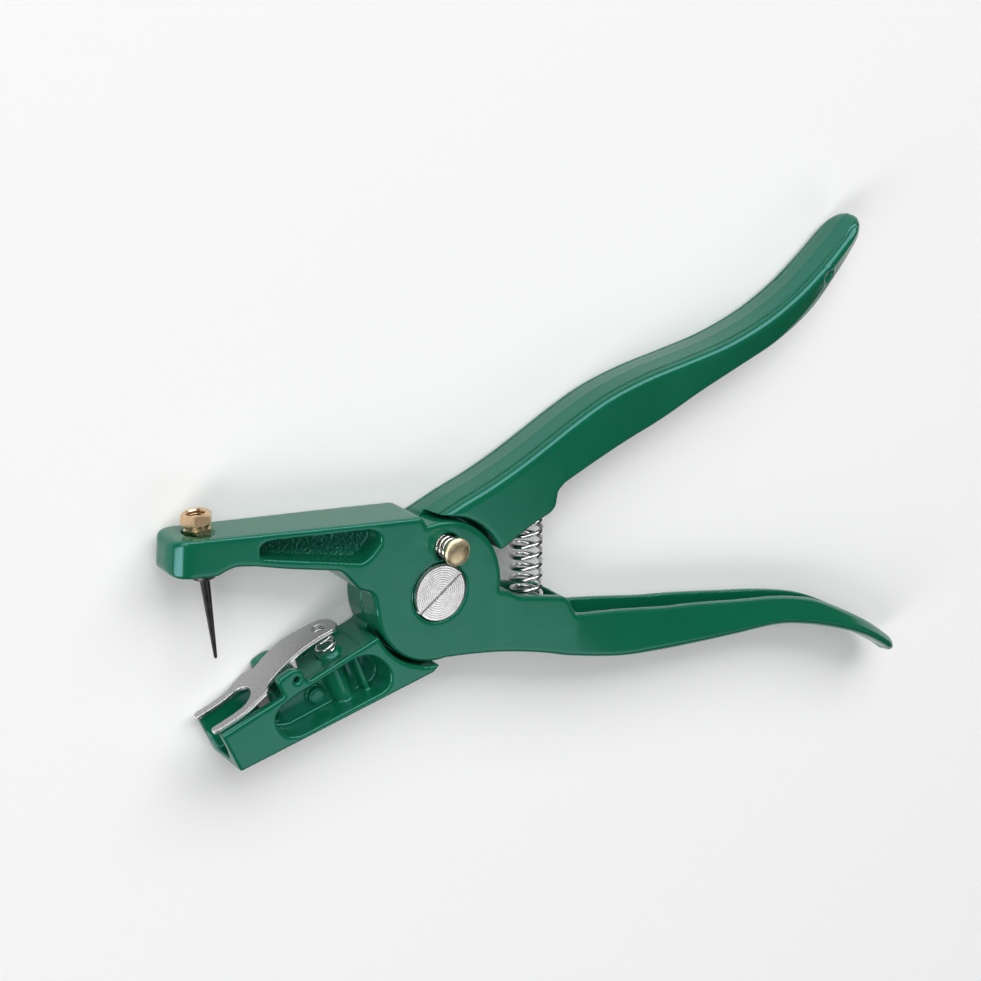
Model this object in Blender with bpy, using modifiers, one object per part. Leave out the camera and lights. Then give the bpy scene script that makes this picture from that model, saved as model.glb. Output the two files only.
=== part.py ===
# Ear tag applicator: two cast levers crossed at a slotted pivot screw. One lever carries the needle arm,
# the other the box-shaped tag jaw with its sprung clip. A coil spring between the grips opens the tool and
# a sprung brass button locks it shut. The tool lies on its back face, z = 0, with the pivot at the origin,
# the jaws towards -X and the grips towards +X. Sizes are in millimetres until MM turns them into metres.
import math
import bmesh
import bpy
from mathutils import Matrix, Vector

MM = 0.001

# castings
THICK = 16.5            # both castings, back face to front face
LAP_GAP = 0.3           # play between the two half cheeks
DISC_R = 19.5           # half cheek that turns on the pivot
ARC_PLAY = 1.3          # from a cheek to the arc cut round it in the other lever
EDGE = 0.8              # rounding along the cast edges
WALL = 2.5              # walls of the jaw and of the grips
FIT = 0.3               # gap between pieces that touch

# needle arm, in a frame along the arm: u towards the tip, v up
ARM_SLOPE = 5.0
ARM_LEN = 77.2
ARM_TOP = 21.3
ARM_TIP_DEPTH = 10.0
ARM_NECK_DEPTH = 8.0
ARM_ROOT_DEPTH = 12.2
ARM_TIP_THIN = 2.2      # the arm is this much thinner at its tip
ARM_TIP_ROUND = 5.5     # corners of the tip, seen from above
ARM_POCKET_DEPTH = 6.8

# tag jaw, in a frame along the jaw: u towards the front, v up
JAW_SLOPE = 20.0
JAW_LEN = 69.8
JAW_TOP = -1.7
JAW_FRONT_DEPTH = 12.2
JAW_BACK_DEPTH = 18.9
JAW_FLOOR = 2.3
JAW_MOUTH_LEN = 18.0
JAW_WINDOW_DEPTH = 8.0
JAW_BACK_WINDOW_DEPTH = 5.5
DECK_DROP = 0.8
EAR_RISE = 5.6
EAR_LEN = 7.3
EAR_WALL = 2.65

# grips
SHOULDER = 2.2          # rounding along the outer edges of a grip
GRIP_FLOOR = 3.2
GRIP_RIDGE = 0.45       # parting line along the outer side
GROOVE = 0.35           # line pressed in below the shoulder

# pivot
SCREW_HEAD_R = 8.0
SCREW_HEAD_H = 3.2
SCREW_SHANK_R = 4.5
SCREW_PROUD = 0.3
SLOT_W = 1.2
SLOT_D = 1.3
SLOT_ANGLE = 36.0
NUT_R = 7.0
NUT_H = 3.0

# lock button
LOCK_R = 12.5           # from the pivot
LOCK_ANGLE = 79.0
LOCK_HEAD_R = 3.85
LOCK_HEAD_H = 2.0
LOCK_RISE = 3.9         # from the cheek to the underside of the head
LOCK_SHANK_R = 1.8
LOCK_POCKET_R = 3.7
LOCK_POCKET_DEPTH = 3.8
LOCK_WEB = 1.2
LOCK_WELL_R = 3.6
LOCK_RING_H = 0.8
LOCK_DEPTH = 4.0        # hole in the other cheek
CLOSED = 22.0           # turn of the needle lever from open to closed

# return spring
SPRING_X = 33.0
SPRING_R = 4.2
SPRING_WIRE = 1.3
SPRING_TURNS = 9.5
SPRING_LOW = -12.4      # seats in the two grips
SPRING_HIGH = 17.2
SEAT_HALF = 5.4
SEAT_PEG_R = 2.6
SEAT_PEG_H = 2.4

# needle and its nut, on an axis that leans back from the arm
NEEDLE_SETBACK = 9.8    # from the arm's tip
NEEDLE_U = ARM_LEN - NEEDLE_SETBACK
NEEDLE_LEAN = 10.4
NEEDLE_ROOT_R = 1.3
NEEDLE_TIP_R = 0.45
NEEDLE_LEN = 22.4
NEEDLE_FLANGE_R = 3.3
NEEDLE_FLANGE_H = 2.3
NEEDLE_SHANK_R = 2.0
BRASS_HEX_R = 4.3
BRASS_HEX_H = 2.9
BRASS_WAIST_R = 3.3
BRASS_WAIST_H = 0.4
BRASS_FOOT_R = 3.85
BRASS_FOOT_H = 3.15
BRASS_FOOT_SUNK = 1.3

# tag clip
CLIP_T = 1.1
CLIP_W = 13.0           # across the fork
CLIP_SHOULDER_W = 13.8
CLIP_WAIST_W = 9.8      # across the tongue at the pin
CLIP_TONGUE_W = 8.2
CLIP_BEND = 0.12        # the cheeks stand this much inside the tongue's edges
CLIP_SLOT_W = 8.0
CLIP_SLOT_LEN = 14.7
CLIP_OVERHANG = 0.9
CLIP_SEAT_R = 3.4       # boss under the clip spring
CLIP_SEAT_H = 1.2
CLIP_TAIL = DISC_R + 8.1        # end of the tongue, from the pivot
CLIP_SPRING_R = 2.6
CLIP_SPRING_WIRE = 0.7
CLIP_SPRING_TURNS = 3.0
PIN_SETBACK = 24.0      # from the jaw's front end
PIN_U = JAW_LEN - PIN_SETBACK
PIN_V = 0.5
PIN_R = 0.8
PIN_SUNK = 1.4          # from the ears' faces to the pin's ends
CLIP_SPRING_SHARE = 0.272       # where the spring stands between the tongue's end and the pin
CLIP_SPRING_U = CLIP_TAIL + (PIN_U - CLIP_TAIL) * CLIP_SPRING_SHARE
CLIP_HOLE_R = (PIN_U - CLIP_TAIL) * 0.1

MID = THICK / 2
LAP_LOW = MID - LAP_GAP / 2
LAP_HIGH = MID + LAP_GAP / 2
ARC_R = DISC_R + ARC_PLAY
LIFT = 4.0              # how far a cutter runs past the metal

GREEN = (0.012, 0.115, 0.062, 1.0)


def paint(name, colour, metallic, roughness):
    material = bpy.data.materials.new(name)
    material.use_nodes = True
    shader = material.node_tree.nodes["Principled BSDF"]
    shader.inputs["Base Color"].default_value = colour
    shader.inputs["Metallic"].default_value = metallic
    shader.inputs["Roughness"].default_value = roughness
    return material


def along_arm(u, v):
    slope = math.radians(ARM_SLOPE)
    return (-u * math.cos(slope) + v * math.sin(slope), u * math.sin(slope) + v * math.cos(slope))


def along_jaw(u, v):
    slope = math.radians(JAW_SLOPE)
    return (-u * math.cos(slope) - v * math.sin(slope), -u * math.sin(slope) + v * math.cos(slope))


def polar(radius, angle):
    return (radius * math.cos(math.radians(angle)), radius * math.sin(math.radians(angle)))


def frame(origin, x_axis, z_axis):
    """Matrix of a frame at an origin in mm, for meshes already in metres."""
    z = Vector(z_axis).normalized()
    x = (Vector(x_axis) - z * Vector(x_axis).dot(z)).normalized()
    y = z.cross(x)
    place = Matrix((x, y, z)).transposed().to_4x4()
    place.translation = Vector(origin) * MM
    return place


def add_mesh(name, bm):
    mesh = bpy.data.meshes.new(name)
    bm.to_mesh(mesh)
    bm.free()
    piece = bpy.data.objects.new(name, mesh)
    bpy.context.scene.collection.objects.link(piece)
    return piece


def bake(piece):
    """Apply the object's modifiers, or turn a curve into a welded mesh."""
    bpy.context.view_layer.update()
    evaluated = piece.evaluated_get(bpy.context.evaluated_depsgraph_get())
    mesh = bpy.data.meshes.new_from_object(evaluated)
    bm = bmesh.new()
    bm.from_mesh(mesh)
    bpy.data.meshes.remove(mesh)
    bmesh.ops.remove_doubles(bm, verts=bm.verts, dist=0.00001)
    bmesh.ops.transform(bm, matrix=piece.matrix_world, verts=bm.verts)
    name = piece.name
    piece.name = name + "_raw"
    bpy.data.objects.remove(piece)
    return add_mesh(name, bm)


def plate(name, points, low, high, edge=0.0, place=None, steps=1):
    """A flat outline in mm, extruded between two heights, with rounded rims where edge is given."""
    curve = bpy.data.curves.new(name, "CURVE")
    curve.dimensions = "2D"
    curve.fill_mode = "BOTH"
    curve.extrude = ((high - low) / 2 - edge) * MM
    curve.bevel_depth = edge * MM
    curve.bevel_resolution = steps
    curve.offset = -edge * MM
    spline = curve.splines.new("POLY")
    spline.points.add(len(points) - 1)
    for point, (x, y) in zip(spline.points, points):
        point.co = (x * MM, y * MM, 0.0, 1.0)
    spline.use_cyclic_u = True
    piece = bpy.data.objects.new(name, curve)
    bpy.context.scene.collection.objects.link(piece)
    shift = Matrix.Translation((0, 0, (low + high) / 2 * MM))
    piece.matrix_world = (place @ shift) if place else shift
    return bake(piece)


def turned(name, profile, place=None, steps=32):
    """A turned piece: radius and height pairs in mm, from the top down its outer side."""
    bm = bmesh.new()
    verts = [bm.verts.new((r * MM, 0.0, z * MM)) for r, z in profile]
    for a, b in zip(verts, verts[1:]):
        bm.edges.new((a, b))
    piece = add_mesh(name, bm)
    screw = piece.modifiers.new("turn", "SCREW")
    screw.steps = steps
    screw.render_steps = steps
    screw.use_merge_vertices = True
    screw.merge_threshold = 0.00001
    if place:
        piece.matrix_world = place
    return bake(piece)


def rod(name, radius, low, high, place=None, steps=32):
    return turned(name, [(0, high), (radius, high), (radius, low), (0, low)], place, steps)


def loft(name, rings):
    """Skin over rings of equal length, closed at both ends; points in mm."""
    bm = bmesh.new()
    loops = [[bm.verts.new(Vector(p) * MM) for p in ring] for ring in rings]
    for a, b in zip(loops, loops[1:]):
        for i in range(len(a)):
            j = (i + 1) % len(a)
            bm.faces.new((a[i], a[j], b[j], b[i]))
    bm.faces.new(loops[0][::-1])
    bm.faces.new(loops[-1])
    bmesh.ops.recalc_face_normals(bm, faces=bm.faces)
    return add_mesh(name, bm)


def coil(name, radius, wire, turns, length, place, per_turn=10, closed=0.75):
    """A compression spring along +Z from z = 0, with a closed turn at each end."""
    reach = length - wire
    count = int(turns * per_turn)
    curve = bpy.data.curves.new(name, "CURVE")
    curve.dimensions = "3D"
    curve.bevel_depth = wire / 2 * MM
    curve.bevel_resolution = 1
    curve.use_fill_caps = True
    spline = curve.splines.new("POLY")
    spline.points.add(count)
    rise = (reach - 2 * closed * wire * 1.15) / (turns - 2 * closed)
    height = 0.0
    for i in range(count + 1):
        turn = i / per_turn
        point = (radius * math.cos(turn * math.tau), radius * math.sin(turn * math.tau), wire / 2 + height)
        spline.points[i].co = (point[0] * MM, point[1] * MM, point[2] * MM, 1.0)
        at_end = turn < closed or turn >= turns - closed - 1e-6
        height += (wire * 1.15 if at_end else rise) / per_turn
    piece = bpy.data.objects.new(name, curve)
    bpy.context.scene.collection.objects.link(piece)
    piece.matrix_world = place
    return bake(piece)


def combine(piece, tools, operation):
    for tool in tools:
        change = piece.modifiers.new(operation.lower(), "BOOLEAN")
        change.operation = operation
        change.solver = "EXACT"
        change.object = tool
        piece = bake(piece)
        bpy.data.objects.remove(tool)
    return piece


def fuse(piece, *tools):
    return combine(piece, tools, "UNION")


def cut(piece, *tools):
    return combine(piece, tools, "DIFFERENCE")


def smooth_rows(rows, parts):
    """Rows of numbers, with rounded steps added between them."""
    out = []
    for i in range(len(rows) - 1):
        before, a, b, after = rows[max(i - 1, 0)], rows[i], rows[i + 1], rows[min(i + 2, len(rows) - 1)]
        for k in range(parts):
            t = k / parts
            out.append(tuple(
                q + ((r - p) + ((2 * p - 5 * q + 4 * r - s) + (3 * q - p - 3 * r + s) * t) * t) * t / 2
                for p, q, r, s in zip(before, a, b, after)))
    out.append(rows[-1])
    return out


def between(row, other, share):
    return tuple(a + (b - a) * share for a, b in zip(row, other))


def grip(name, rows, groove=0.0):
    """A grip lofted along its rows: flat sides that lean in to the inner rims, rounded outer shoulders with a
    groove below them if one is given, and a parting line at mid thickness."""
    rings = []
    for ox, oy, ix, iy, wide, narrow, shoulder in rows:
        outer, inner = Vector((ox, oy)), Vector((ix, iy))
        depth = (outer - inner).length
        across = (outer - inner) / depth
        wide, narrow = min(wide, FULL), min(narrow, FULL)
        rim = min(0.6, narrow * 0.2)
        r = min(shoulder, depth * 0.48, wide * 0.6)
        half = (depth - r) / 2
        side = [(0, narrow - rim), (rim, narrow + (wide - narrow) * rim / depth),
                (half, narrow + (wide - narrow) * half / (depth - r)), (depth - r, wide)]
        side += [(depth - r + r * math.sin(a), wide - r + r * math.cos(a)) for a in (0.52, 1.05, 1.571)]
        edge = wide - r
        if groove:
            press = groove * min(max(wide / FULL - 0.8, 0) / 0.1, 1)
            side += [(depth - press, edge * 0.93), (depth + GRIP_RIDGE * 0.14, edge * 0.86)]
        ring = side + [(depth + GRIP_RIDGE, 0)] + [(t, -z) for t, z in reversed(side)]
        rings.append([(inner.x + across.x * t, inner.y + across.y * t, MID + z) for t, z in ring])
    return loft(name, rings)


def grip_hollow(name, grip_rows, first, last):
    """Cutter for the hollow side of a grip: its floor rises to the inner edge past the last row."""
    rows = [between(grip_rows[first], grip_rows[first + 1], 0.3)] + grip_rows[first + 1:last + 1]
    rows = [row[:4] + (row[5] - WALL, GRIP_FLOOR) for row in rows]
    end = between(grip_rows[last], grip_rows[last + 1], 0.6)
    rows.append(end[:4] + (end[5] - WALL * 1.2, GRIP_FLOOR * 1.7))
    rings = []
    for ox, oy, ix, iy, half, floor in rows:
        outer, inner = Vector((ox, oy)), Vector((ix, iy))
        depth = (outer - inner).length
        across = (outer - inner) / depth
        top = max(depth - floor, 0.8)
        corner = min(1.2, half * 0.5, top * 0.5)
        section = [(-LIFT, half), (top - corner, half), (top, half - corner)]
        section += [(t, -z) for t, z in reversed(section)]
        rings.append([(inner.x + across.x * t, inner.y + across.y * t, MID + z) for t, z in section])
    return loft(name, rings)


def finish(piece, material, origin=(0.0, 0.0, 0.0)):
    """Give the piece its material, collection and origin, the origin in mm."""
    spot = Vector(origin) * MM
    piece.data.transform(Matrix.Translation(-spot))
    piece.location = spot
    piece.data.materials.clear()
    piece.data.materials.append(material)
    piece.data.shade_smooth()
    piece.data.set_sharp_from_angle(angle=math.radians(32))
    for home in list(piece.users_collection):
        home.objects.unlink(piece)
    bpy.data.collections["ear_tag_applicator"].objects.link(piece)
    return piece


# Grips: outer x, outer y, inner x, inner y, half width outside, half width at the inner rims, shoulder
FULL = THICK / 2
LOWER_GRIP = [
    (2.0, -19.4, 8.0, -4.0, FULL, FULL, EDGE),
    (10.8, -20.4, 17.0, -9.0, FULL, FULL, EDGE),
    (21.0, -22.1, 26.0, -12.0, FULL, FULL, EDGE),
    (33.0, -25.1, 35.5, -14.5, FULL, FULL, EDGE),
    (43.5, -28.4, 45.5, -16.3, FULL, FULL, EDGE),
    (59.9, -32.3, 61.0, -18.6, FULL, FULL * 0.9, EDGE * 1.5),
    (74.0, -34.2, 76.0, -21.2, FULL, FULL * 0.85, SHOULDER),
    (88.0, -35.0, 90.0, -23.1, FULL, FULL * 0.8, SHOULDER),
    (104.0, -35.6, 106.0, -25.7, FULL, FULL * 0.74, SHOULDER),
    (120.0, -36.2, 122.0, -28.3, FULL * 0.98, FULL * 0.62, SHOULDER),
    (133.5, -39.2, 136.5, -32.2, FULL * 0.96, FULL * 0.55, SHOULDER),
    (147.0, -43.8, 149.7, -38.6, FULL * 0.93, FULL * 0.52, SHOULDER),
    (157.3, -48.4, 160.1, -44.6, FULL * 0.9, FULL * 0.53, SHOULDER),
    (166.4, -53.9, 168.5, -50.7, FULL * 0.78, FULL * 0.49, SHOULDER),
    (171.2, -57.6, 173.2, -55.0, FULL * 0.45, FULL * 0.3, SHOULDER),
]
UPPER_GRIP = [
    (-1.2, 19.9, 4.0, 8.0, FULL, FULL, SHOULDER),
    (7.5, 23.5, 12.0, 9.5, FULL, FULL, SHOULDER),
    (16.6, 26.8, 20.0, 12.0, FULL, FULL, SHOULDER),
    (26.0, 30.9, 28.5, 16.5, FULL, FULL, SHOULDER),
    (34.5, 35.2, 38.0, 21.9, FULL, FULL, SHOULDER),
    (45.0, 40.7, 49.0, 26.6, FULL, FULL * 0.97, SHOULDER),
    (56.0, 45.6, 61.0, 31.1, FULL, FULL * 0.9, SHOULDER),
    (69.0, 49.3, 74.0, 35.6, FULL, FULL * 0.87, SHOULDER),
    (82.0, 51.8, 87.0, 41.0, FULL, FULL * 0.84, SHOULDER),
    (97.0, 55.0, 101.5, 46.4, FULL, FULL * 0.79, SHOULDER),
    (111.5, 60.2, 115.8, 51.8, FULL * 0.98, FULL * 0.72, SHOULDER),
    (123.5, 66.8, 128.4, 59.2, FULL * 0.97, FULL * 0.65, SHOULDER),
    (132.8, 73.8, 138.0, 68.6, FULL * 0.95, FULL * 0.6, SHOULDER),
    (140.2, 80.4, 145.0, 77.0, FULL * 0.9, FULL * 0.56, SHOULDER),
    (144.8, 85.2, 148.6, 82.2, FULL * 0.52, FULL * 0.36, SHOULDER),
]


def needle_lever():
    """Front lever: needle arm, front half cheek and lower grip in one casting."""
    neck = ARM_TOP - ARM_NECK_DEPTH
    root = ARM_TOP - ARM_ROOT_DEPTH
    chin = ARM_TOP - ARM_TIP_DEPTH
    r = ARM_TIP_ROUND
    heel = ARC_R + 9.7      # where the arm's lower edge starts to drop towards the cheek
    # the tip's rounding: how far along its radius, drop from the top, rise from the chin
    nose = [(0.45, 0.1, 0.05), (0.75, 0.4, 0.35), (0.94, 1.1, 1.3), (1.0, 2.2, 2.8)]
    outline = [(DISC_R * 0.34, ARM_TOP), (ARM_LEN - r, ARM_TOP)]
    outline += [(ARM_LEN - r * (1 - share), ARM_TOP - drop) for share, drop, rise in nose]
    outline += [(ARM_LEN - r * (1 - share), chin + rise) for share, drop, rise in nose[::-1]]
    outline += [
        (NEEDLE_U - 2.6, chin), (NEEDLE_U - 4.6, neck - 0.9), (NEEDLE_U - 7.2, neck),
        (NEEDLE_U - 12.4, neck - 0.4), ((heel + NEEDLE_U - 6.8) / 2, (neck + root) / 2),
        (heel, root), (heel - 1.7, root - 1.4), (heel - 5.6, root - 5.6), (ARC_R - 0.2, root - 7.0),
        (ARC_R - 1.6, root - 12.3), (DISC_R * 0.4, root - 11.3), (DISC_R * 0.2, ARM_TOP - 6.0)]
    arm = plate("needle_lever", [along_arm(u, v) for u, v in outline], 0, THICK, EDGE)
    # the arm thins towards its tip, whose corners are rounded
    start = ARC_R + 5.0
    slope = math.radians(ARM_SLOPE)
    for vert in arm.data.vertices:
        u = (-vert.co.x * math.cos(slope) + vert.co.y * math.sin(slope)) / MM
        share = min(max((u - start) / (ARM_LEN - start), 0.0), 1.0)
        turn_in = min(max(u - (ARM_LEN - r), 0.0), r)
        half = MID - ARM_TIP_THIN / 2 * share - (r - math.sqrt(r * r - turn_in * turn_in))
        vert.co.z = MID * MM + (vert.co.z - MID * MM) * half / MID
    cheek = turned("cheek", [(0, THICK), (DISC_R - EDGE, THICK), (DISC_R - EDGE * 0.3, THICK - EDGE * 0.3),
                             (DISC_R, THICK - EDGE), (DISC_R, LAP_HIGH), (0, LAP_HIGH)], steps=60)
    lower = grip("lower_grip", smooth_rows(LOWER_GRIP, 2))
    seat_wall = plate("seat_wall", [
        (12.0, -2.5), (19.4, -3.6), (22.8, -4.8), (25.4, -6.6), (40.6, -9.9), (42.3, -11.4), (43.4, -14.2),
        (44.8, -15.9), (44.0, -21.0), (12.0, -17.0)], 0, THICK, EDGE * 0.6)
    lever = fuse(arm, cheek, lower, seat_wall)
    hollow = grip_hollow("hollow", LOWER_GRIP, 4, 10)
    spring_well = plate("spring_well", [
        (SPRING_X - SEAT_HALF - 2.6, SPRING_LOW), (SPRING_X + SEAT_HALF + 1.0, SPRING_LOW),
        (SPRING_X + SEAT_HALF + 1.0, 0.0), (SPRING_X - SEAT_HALF - 2.6, 0.0)],
        MID - SEAT_HALF, MID + SEAT_HALF)
    sweep = rod("sweep", ARC_R, -LIFT, LAP_HIGH, steps=60)
    bore = rod("bore", SCREW_SHANK_R + FIT, -LIFT, THICK + LIFT)
    head_seat = rod("head_seat", SCREW_HEAD_R + FIT * 0.8, THICK - SCREW_HEAD_H - FIT, THICK + LIFT, steps=48)
    lever = cut(lever, hollow, spring_well, sweep, bore, head_seat)
    peg = rod("peg", SEAT_PEG_R, -0.5, SEAT_PEG_H,
              frame((SPRING_X, SPRING_LOW, MID), (1, 0, 0), (0, 1, 0)), steps=16)
    lever = fuse(lever, peg)
    # weight-saving pockets on both faces of the arm
    far, close = NEEDLE_U - 13.6, DISC_R - 0.5
    pocket = [(far - 0.2, -6.4), (far, -3.1), (far - 2.0, -2.0), (close + 3.4, -1.9), (close + 0.9, -2.9),
              (close, -5.6), (close + 3.2, -9.4), (close + 5.2, -10.6)]
    ring = [along_arm(u, v + ARM_TOP) for u, v in pocket]
    lever = cut(lever, plate("front_pocket", ring, THICK - ARM_POCKET_DEPTH, THICK + LIFT, 0.5),
                plate("back_pocket", ring, -LIFT, ARM_POCKET_DEPTH - 1.0, 0.5))
    # lock button pocket, web and well in the cheek
    spot = polar(LOCK_R, LOCK_ANGLE)
    at_lock = frame((spot[0], spot[1], 0), (1, 0, 0), (0, 0, 1))
    web_top = THICK - LOCK_POCKET_DEPTH
    lever = cut(lever, rod("lock_pocket", LOCK_POCKET_R, web_top, THICK + LIFT, at_lock, 24),
                rod("lock_bore", LOCK_SHANK_R + FIT, 0, THICK, at_lock, 16),
                rod("lock_well", LOCK_WELL_R, 0, web_top - LOCK_WEB, at_lock, 24))
    # seat of the brass nut, needle bore and flange seat
    axis = needle_frame()
    drop = needle_drop()
    return cut(lever, rod("needle_bore", NEEDLE_SHANK_R + FIT, -drop - LIFT, LIFT, axis, 20),
               rod("foot_seat", BRASS_FOOT_R + FIT, -BRASS_FOOT_SUNK, LIFT * 2, axis, 24),
               rod("flange_seat", NEEDLE_FLANGE_R + FIT * 1.5, -drop - LIFT, -drop, axis, 24))


def needle_frame():
    """Frame with its Z along the needle, away from the tip, and its origin where it leaves the arm's top."""
    x, y = along_arm(NEEDLE_U, ARM_TOP)
    tilt = math.radians(90 - ARM_SLOPE + NEEDLE_LEAN)
    return frame((x, y, MID), (0, 0, 1), (math.cos(tilt), math.sin(tilt), 0))


def needle_drop():
    """From the arm's top to the flange seat, along the needle."""
    return (ARM_TIP_DEPTH - 0.4) / math.cos(math.radians(NEEDLE_LEAN))


def hex_block(name, radius, low, high, place):
    """A hexagon with its corners turned off at both ends."""
    block = plate(name, [polar(radius, 60 * k + 30) for k in range(6)], low, high, 0, place)
    reach, face, drop = radius + 0.1, radius - 0.7, 0.5
    cone = turned("cone", [(0, high), (face, high), (reach, high - drop), (reach, low + drop), (face, low),
                           (0, low)], place, 24)
    return combine(block, [cone], "INTERSECT")


def tag_lever():
    """Back lever: tag jaw, back half cheek and upper grip in one casting."""
    front_low = JAW_TOP - JAW_FRONT_DEPTH
    back_low = JAW_TOP - JAW_BACK_DEPTH
    heel = DISC_R * 0.49
    outline = [
        (heel, JAW_TOP), (JAW_LEN, JAW_TOP), (JAW_LEN - 0.8, front_low), (heel, back_low),
        (heel - 3.6, back_low + 1.5), (heel - 5.6, back_low + 6.0)]
    jaw = plate("tag_lever", [along_jaw(u, v) for u, v in outline[::-1]], 0, THICK, EDGE * 0.5)
    ear_end = PIN_U - 2.2
    ear_top = JAW_TOP + EAR_RISE
    ear = [(ear_end - 3.0, JAW_TOP - 2.0), (ear_end - 1.4, JAW_TOP - 0.2), (ear_end - 0.2, JAW_TOP + 0.8),
           (ear_end, JAW_TOP + 3.8), (ear_end + 0.9, ear_top - 0.7), (ear_end + 2.6, ear_top),
           (ear_end + EAR_LEN - 1.0, ear_top - 0.2), (ear_end + EAR_LEN, ear_top - 0.9),
           (ear_end + EAR_LEN - 0.3, JAW_TOP - 2.0)]
    ears = plate("ears", [along_jaw(u, v) for u, v in ear[::-1]], 0, THICK, EDGE * 0.5)
    cheek = turned("cheek", [(0, LAP_LOW), (DISC_R, LAP_LOW), (DISC_R, EDGE),
                             (DISC_R - EDGE * 0.3, EDGE * 0.3), (DISC_R - EDGE, 0), (0, 0)], steps=60)
    upper = grip("upper_grip", smooth_rows(UPPER_GRIP, 2), GROOVE)
    seat_wall = plate("seat_wall", [
        (12.0, 12.0), (16.0, 7.5), (19.9, 8.0), (29.5, 13.1), (35.8, 15.5), (37.4, 17.0), (38.2, 21.4),
        (40.6, 23.4), (40.0, 30.0), (14.0, 22.0)], 0, THICK, EDGE * 0.6)
    lever = fuse(jaw, ears, cheek, upper, seat_wall)
    hollow = grip_hollow("hollow", UPPER_GRIP, 4, 10)
    left, right = SPRING_X - SEAT_HALF - 1.0, SPRING_X + SEAT_HALF + 0.6
    spring_well = plate("spring_well", [(left, 0.0), (right, 0.0), (right, SPRING_HIGH), (left, SPRING_HIGH)],
                        MID - SEAT_HALF, MID + SEAT_HALF)
    sweep = rod("sweep", ARC_R, LAP_LOW, THICK + LIFT, steps=60)
    bore = rod("bore", SCREW_SHANK_R + FIT, -LIFT, THICK + LIFT)
    nut_seat = rod("nut_seat", NUT_R + FIT, -LIFT, NUT_H + FIT, steps=40)
    x, y = polar(LOCK_R, LOCK_ANGLE + CLOSED)
    lock_hole = rod("lock_hole", LOCK_SHANK_R + FIT, LAP_LOW - LOCK_DEPTH, THICK,
                    frame((x, y, 0), (1, 0, 0), (0, 0, 1)), 16)
    lever = cut(lever, hollow, spring_well, sweep, bore, nut_seat, lock_hole)
    peg = rod("peg", SEAT_PEG_R, -0.5, SEAT_PEG_H,
              frame((SPRING_X, SPRING_HIGH, MID), (1, 0, 0), (0, -1, 0)), steps=16)
    lever = fuse(lever, peg)
    # open mouth of the jaw: parallel walls above, drawn in towards the floor
    x, y = along_jaw(JAW_LEN + LIFT, 0)
    ahead = Vector(along_jaw(-1, 0)).to_3d()
    half = THICK / 2 - WALL
    # in this frame x is across the jaw and y is up the walls
    across = frame((x, y, MID), (0, 0, 1), ahead)
    up = 1 if (across.to_3x3() @ Vector((0, 1, 0))).y > 0 else -1
    floor = front_low + JAW_FLOOR
    section = [(-half, LIFT * 3), (-half, JAW_TOP - 5.0), (-half + 2.4, floor), (half - 2.4, floor),
               (half, JAW_TOP - 5.0), (half, LIFT * 3)]
    outline = [(z, v * up) for z, v in section][::up]
    lever = cut(lever, plate("mouth", outline, 0, JAW_MOUTH_LEN + LIFT, 0.0, across))
    # slot between the ears and over the deck that carries the clip spring
    x, y = along_jaw(CLIP_TAIL - 2.4, 0)
    behind = frame((x, y, MID), (0, 0, 1), -ahead)
    up = 1 if (behind.to_3x3() @ Vector((0, 1, 0))).y > 0 else -1
    deck = JAW_TOP - DECK_DROP
    half = THICK / 2 - EAR_WALL
    slot = [(-half, deck), (half, deck), (half, LIFT * 3), (-half, LIFT * 3)]
    lever = cut(lever, plate("deck_slot", [(z, v * up) for z, v in slot][::up],
                           0, ear_end + EAR_LEN + 3.8 - CLIP_TAIL + 2.4, 0.0, behind))
    # windows in both faces, with a web between them
    close, far = ARC_R + 0.4, JAW_LEN - 14.4
    low = back_low + 3.6
    sill = [(close + 1.0, low + 1.2), (close, low + 4.4), (close + 0.4, low + 6.8), (close + 2.0, low + 10.2),
            (close + 3.8, low + 12.0), (close + 7.3, JAW_TOP - 1.8), (far - 7.9, JAW_TOP - 1.7),
            (far - 2.8, JAW_TOP - 2.2), (far - 0.5, JAW_TOP - 3.9), (far, JAW_TOP - 6.5),
            (far - 1.0, low + 4.8), (far - 4.8, low + 2.5), ((close + far) / 2, low + 1.4),
            (close + 3.4, low)]
    window = [along_jaw(u, v) for u, v in sill]
    back = [along_jaw(u - 1.2 if u > far - 5 else u, v) for u, v in sill]
    lever = cut(lever, plate("front_window", window, THICK - JAW_WINDOW_DEPTH, THICK + LIFT, 0.6),
                plate("back_window", back, -LIFT, JAW_BACK_WINDOW_DEPTH, 0.6))
    # boss under the clip spring
    jaw_up = Vector(along_jaw(0, 1)).to_3d()
    x, y = along_jaw(CLIP_SPRING_U, 0)
    at_seat = frame((x, y, MID), (0, 0, 1), jaw_up)
    lever = fuse(lever, rod("clip_seat", CLIP_SEAT_R, deck - 0.5, deck + CLIP_SEAT_H, at_seat, 24))
    # post, boss and rib seen through the front window
    web = THICK - JAW_WINDOW_DEPTH
    x, y = along_jaw(CLIP_SPRING_U + 1.0, 0)
    post = rod("post", 2.9, back_low + 4.2, deck - 0.5, frame((x, y, web + 0.6), (1, 0, 0), jaw_up), 20)
    x, y = along_jaw(PIN_U - 5.4, JAW_TOP - 9.3)
    boss = rod("boss", 2.3, web - 1.0, web + 1.6, frame((x, y, 0), (1, 0, 0), (0, 0, 1)), 20)
    rib_u = ARC_R + 5.6
    rib = [(rib_u + 1.6, back_low + 3.5), (rib_u, back_low + 3.5), (rib_u, JAW_TOP - 1.3),
           (rib_u + 1.6, JAW_TOP - 1.3)]
    lever = fuse(lever, post, boss, plate("rib", [along_jaw(u, v) for u, v in rib], web - 1.0, web + 3.4))
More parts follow.
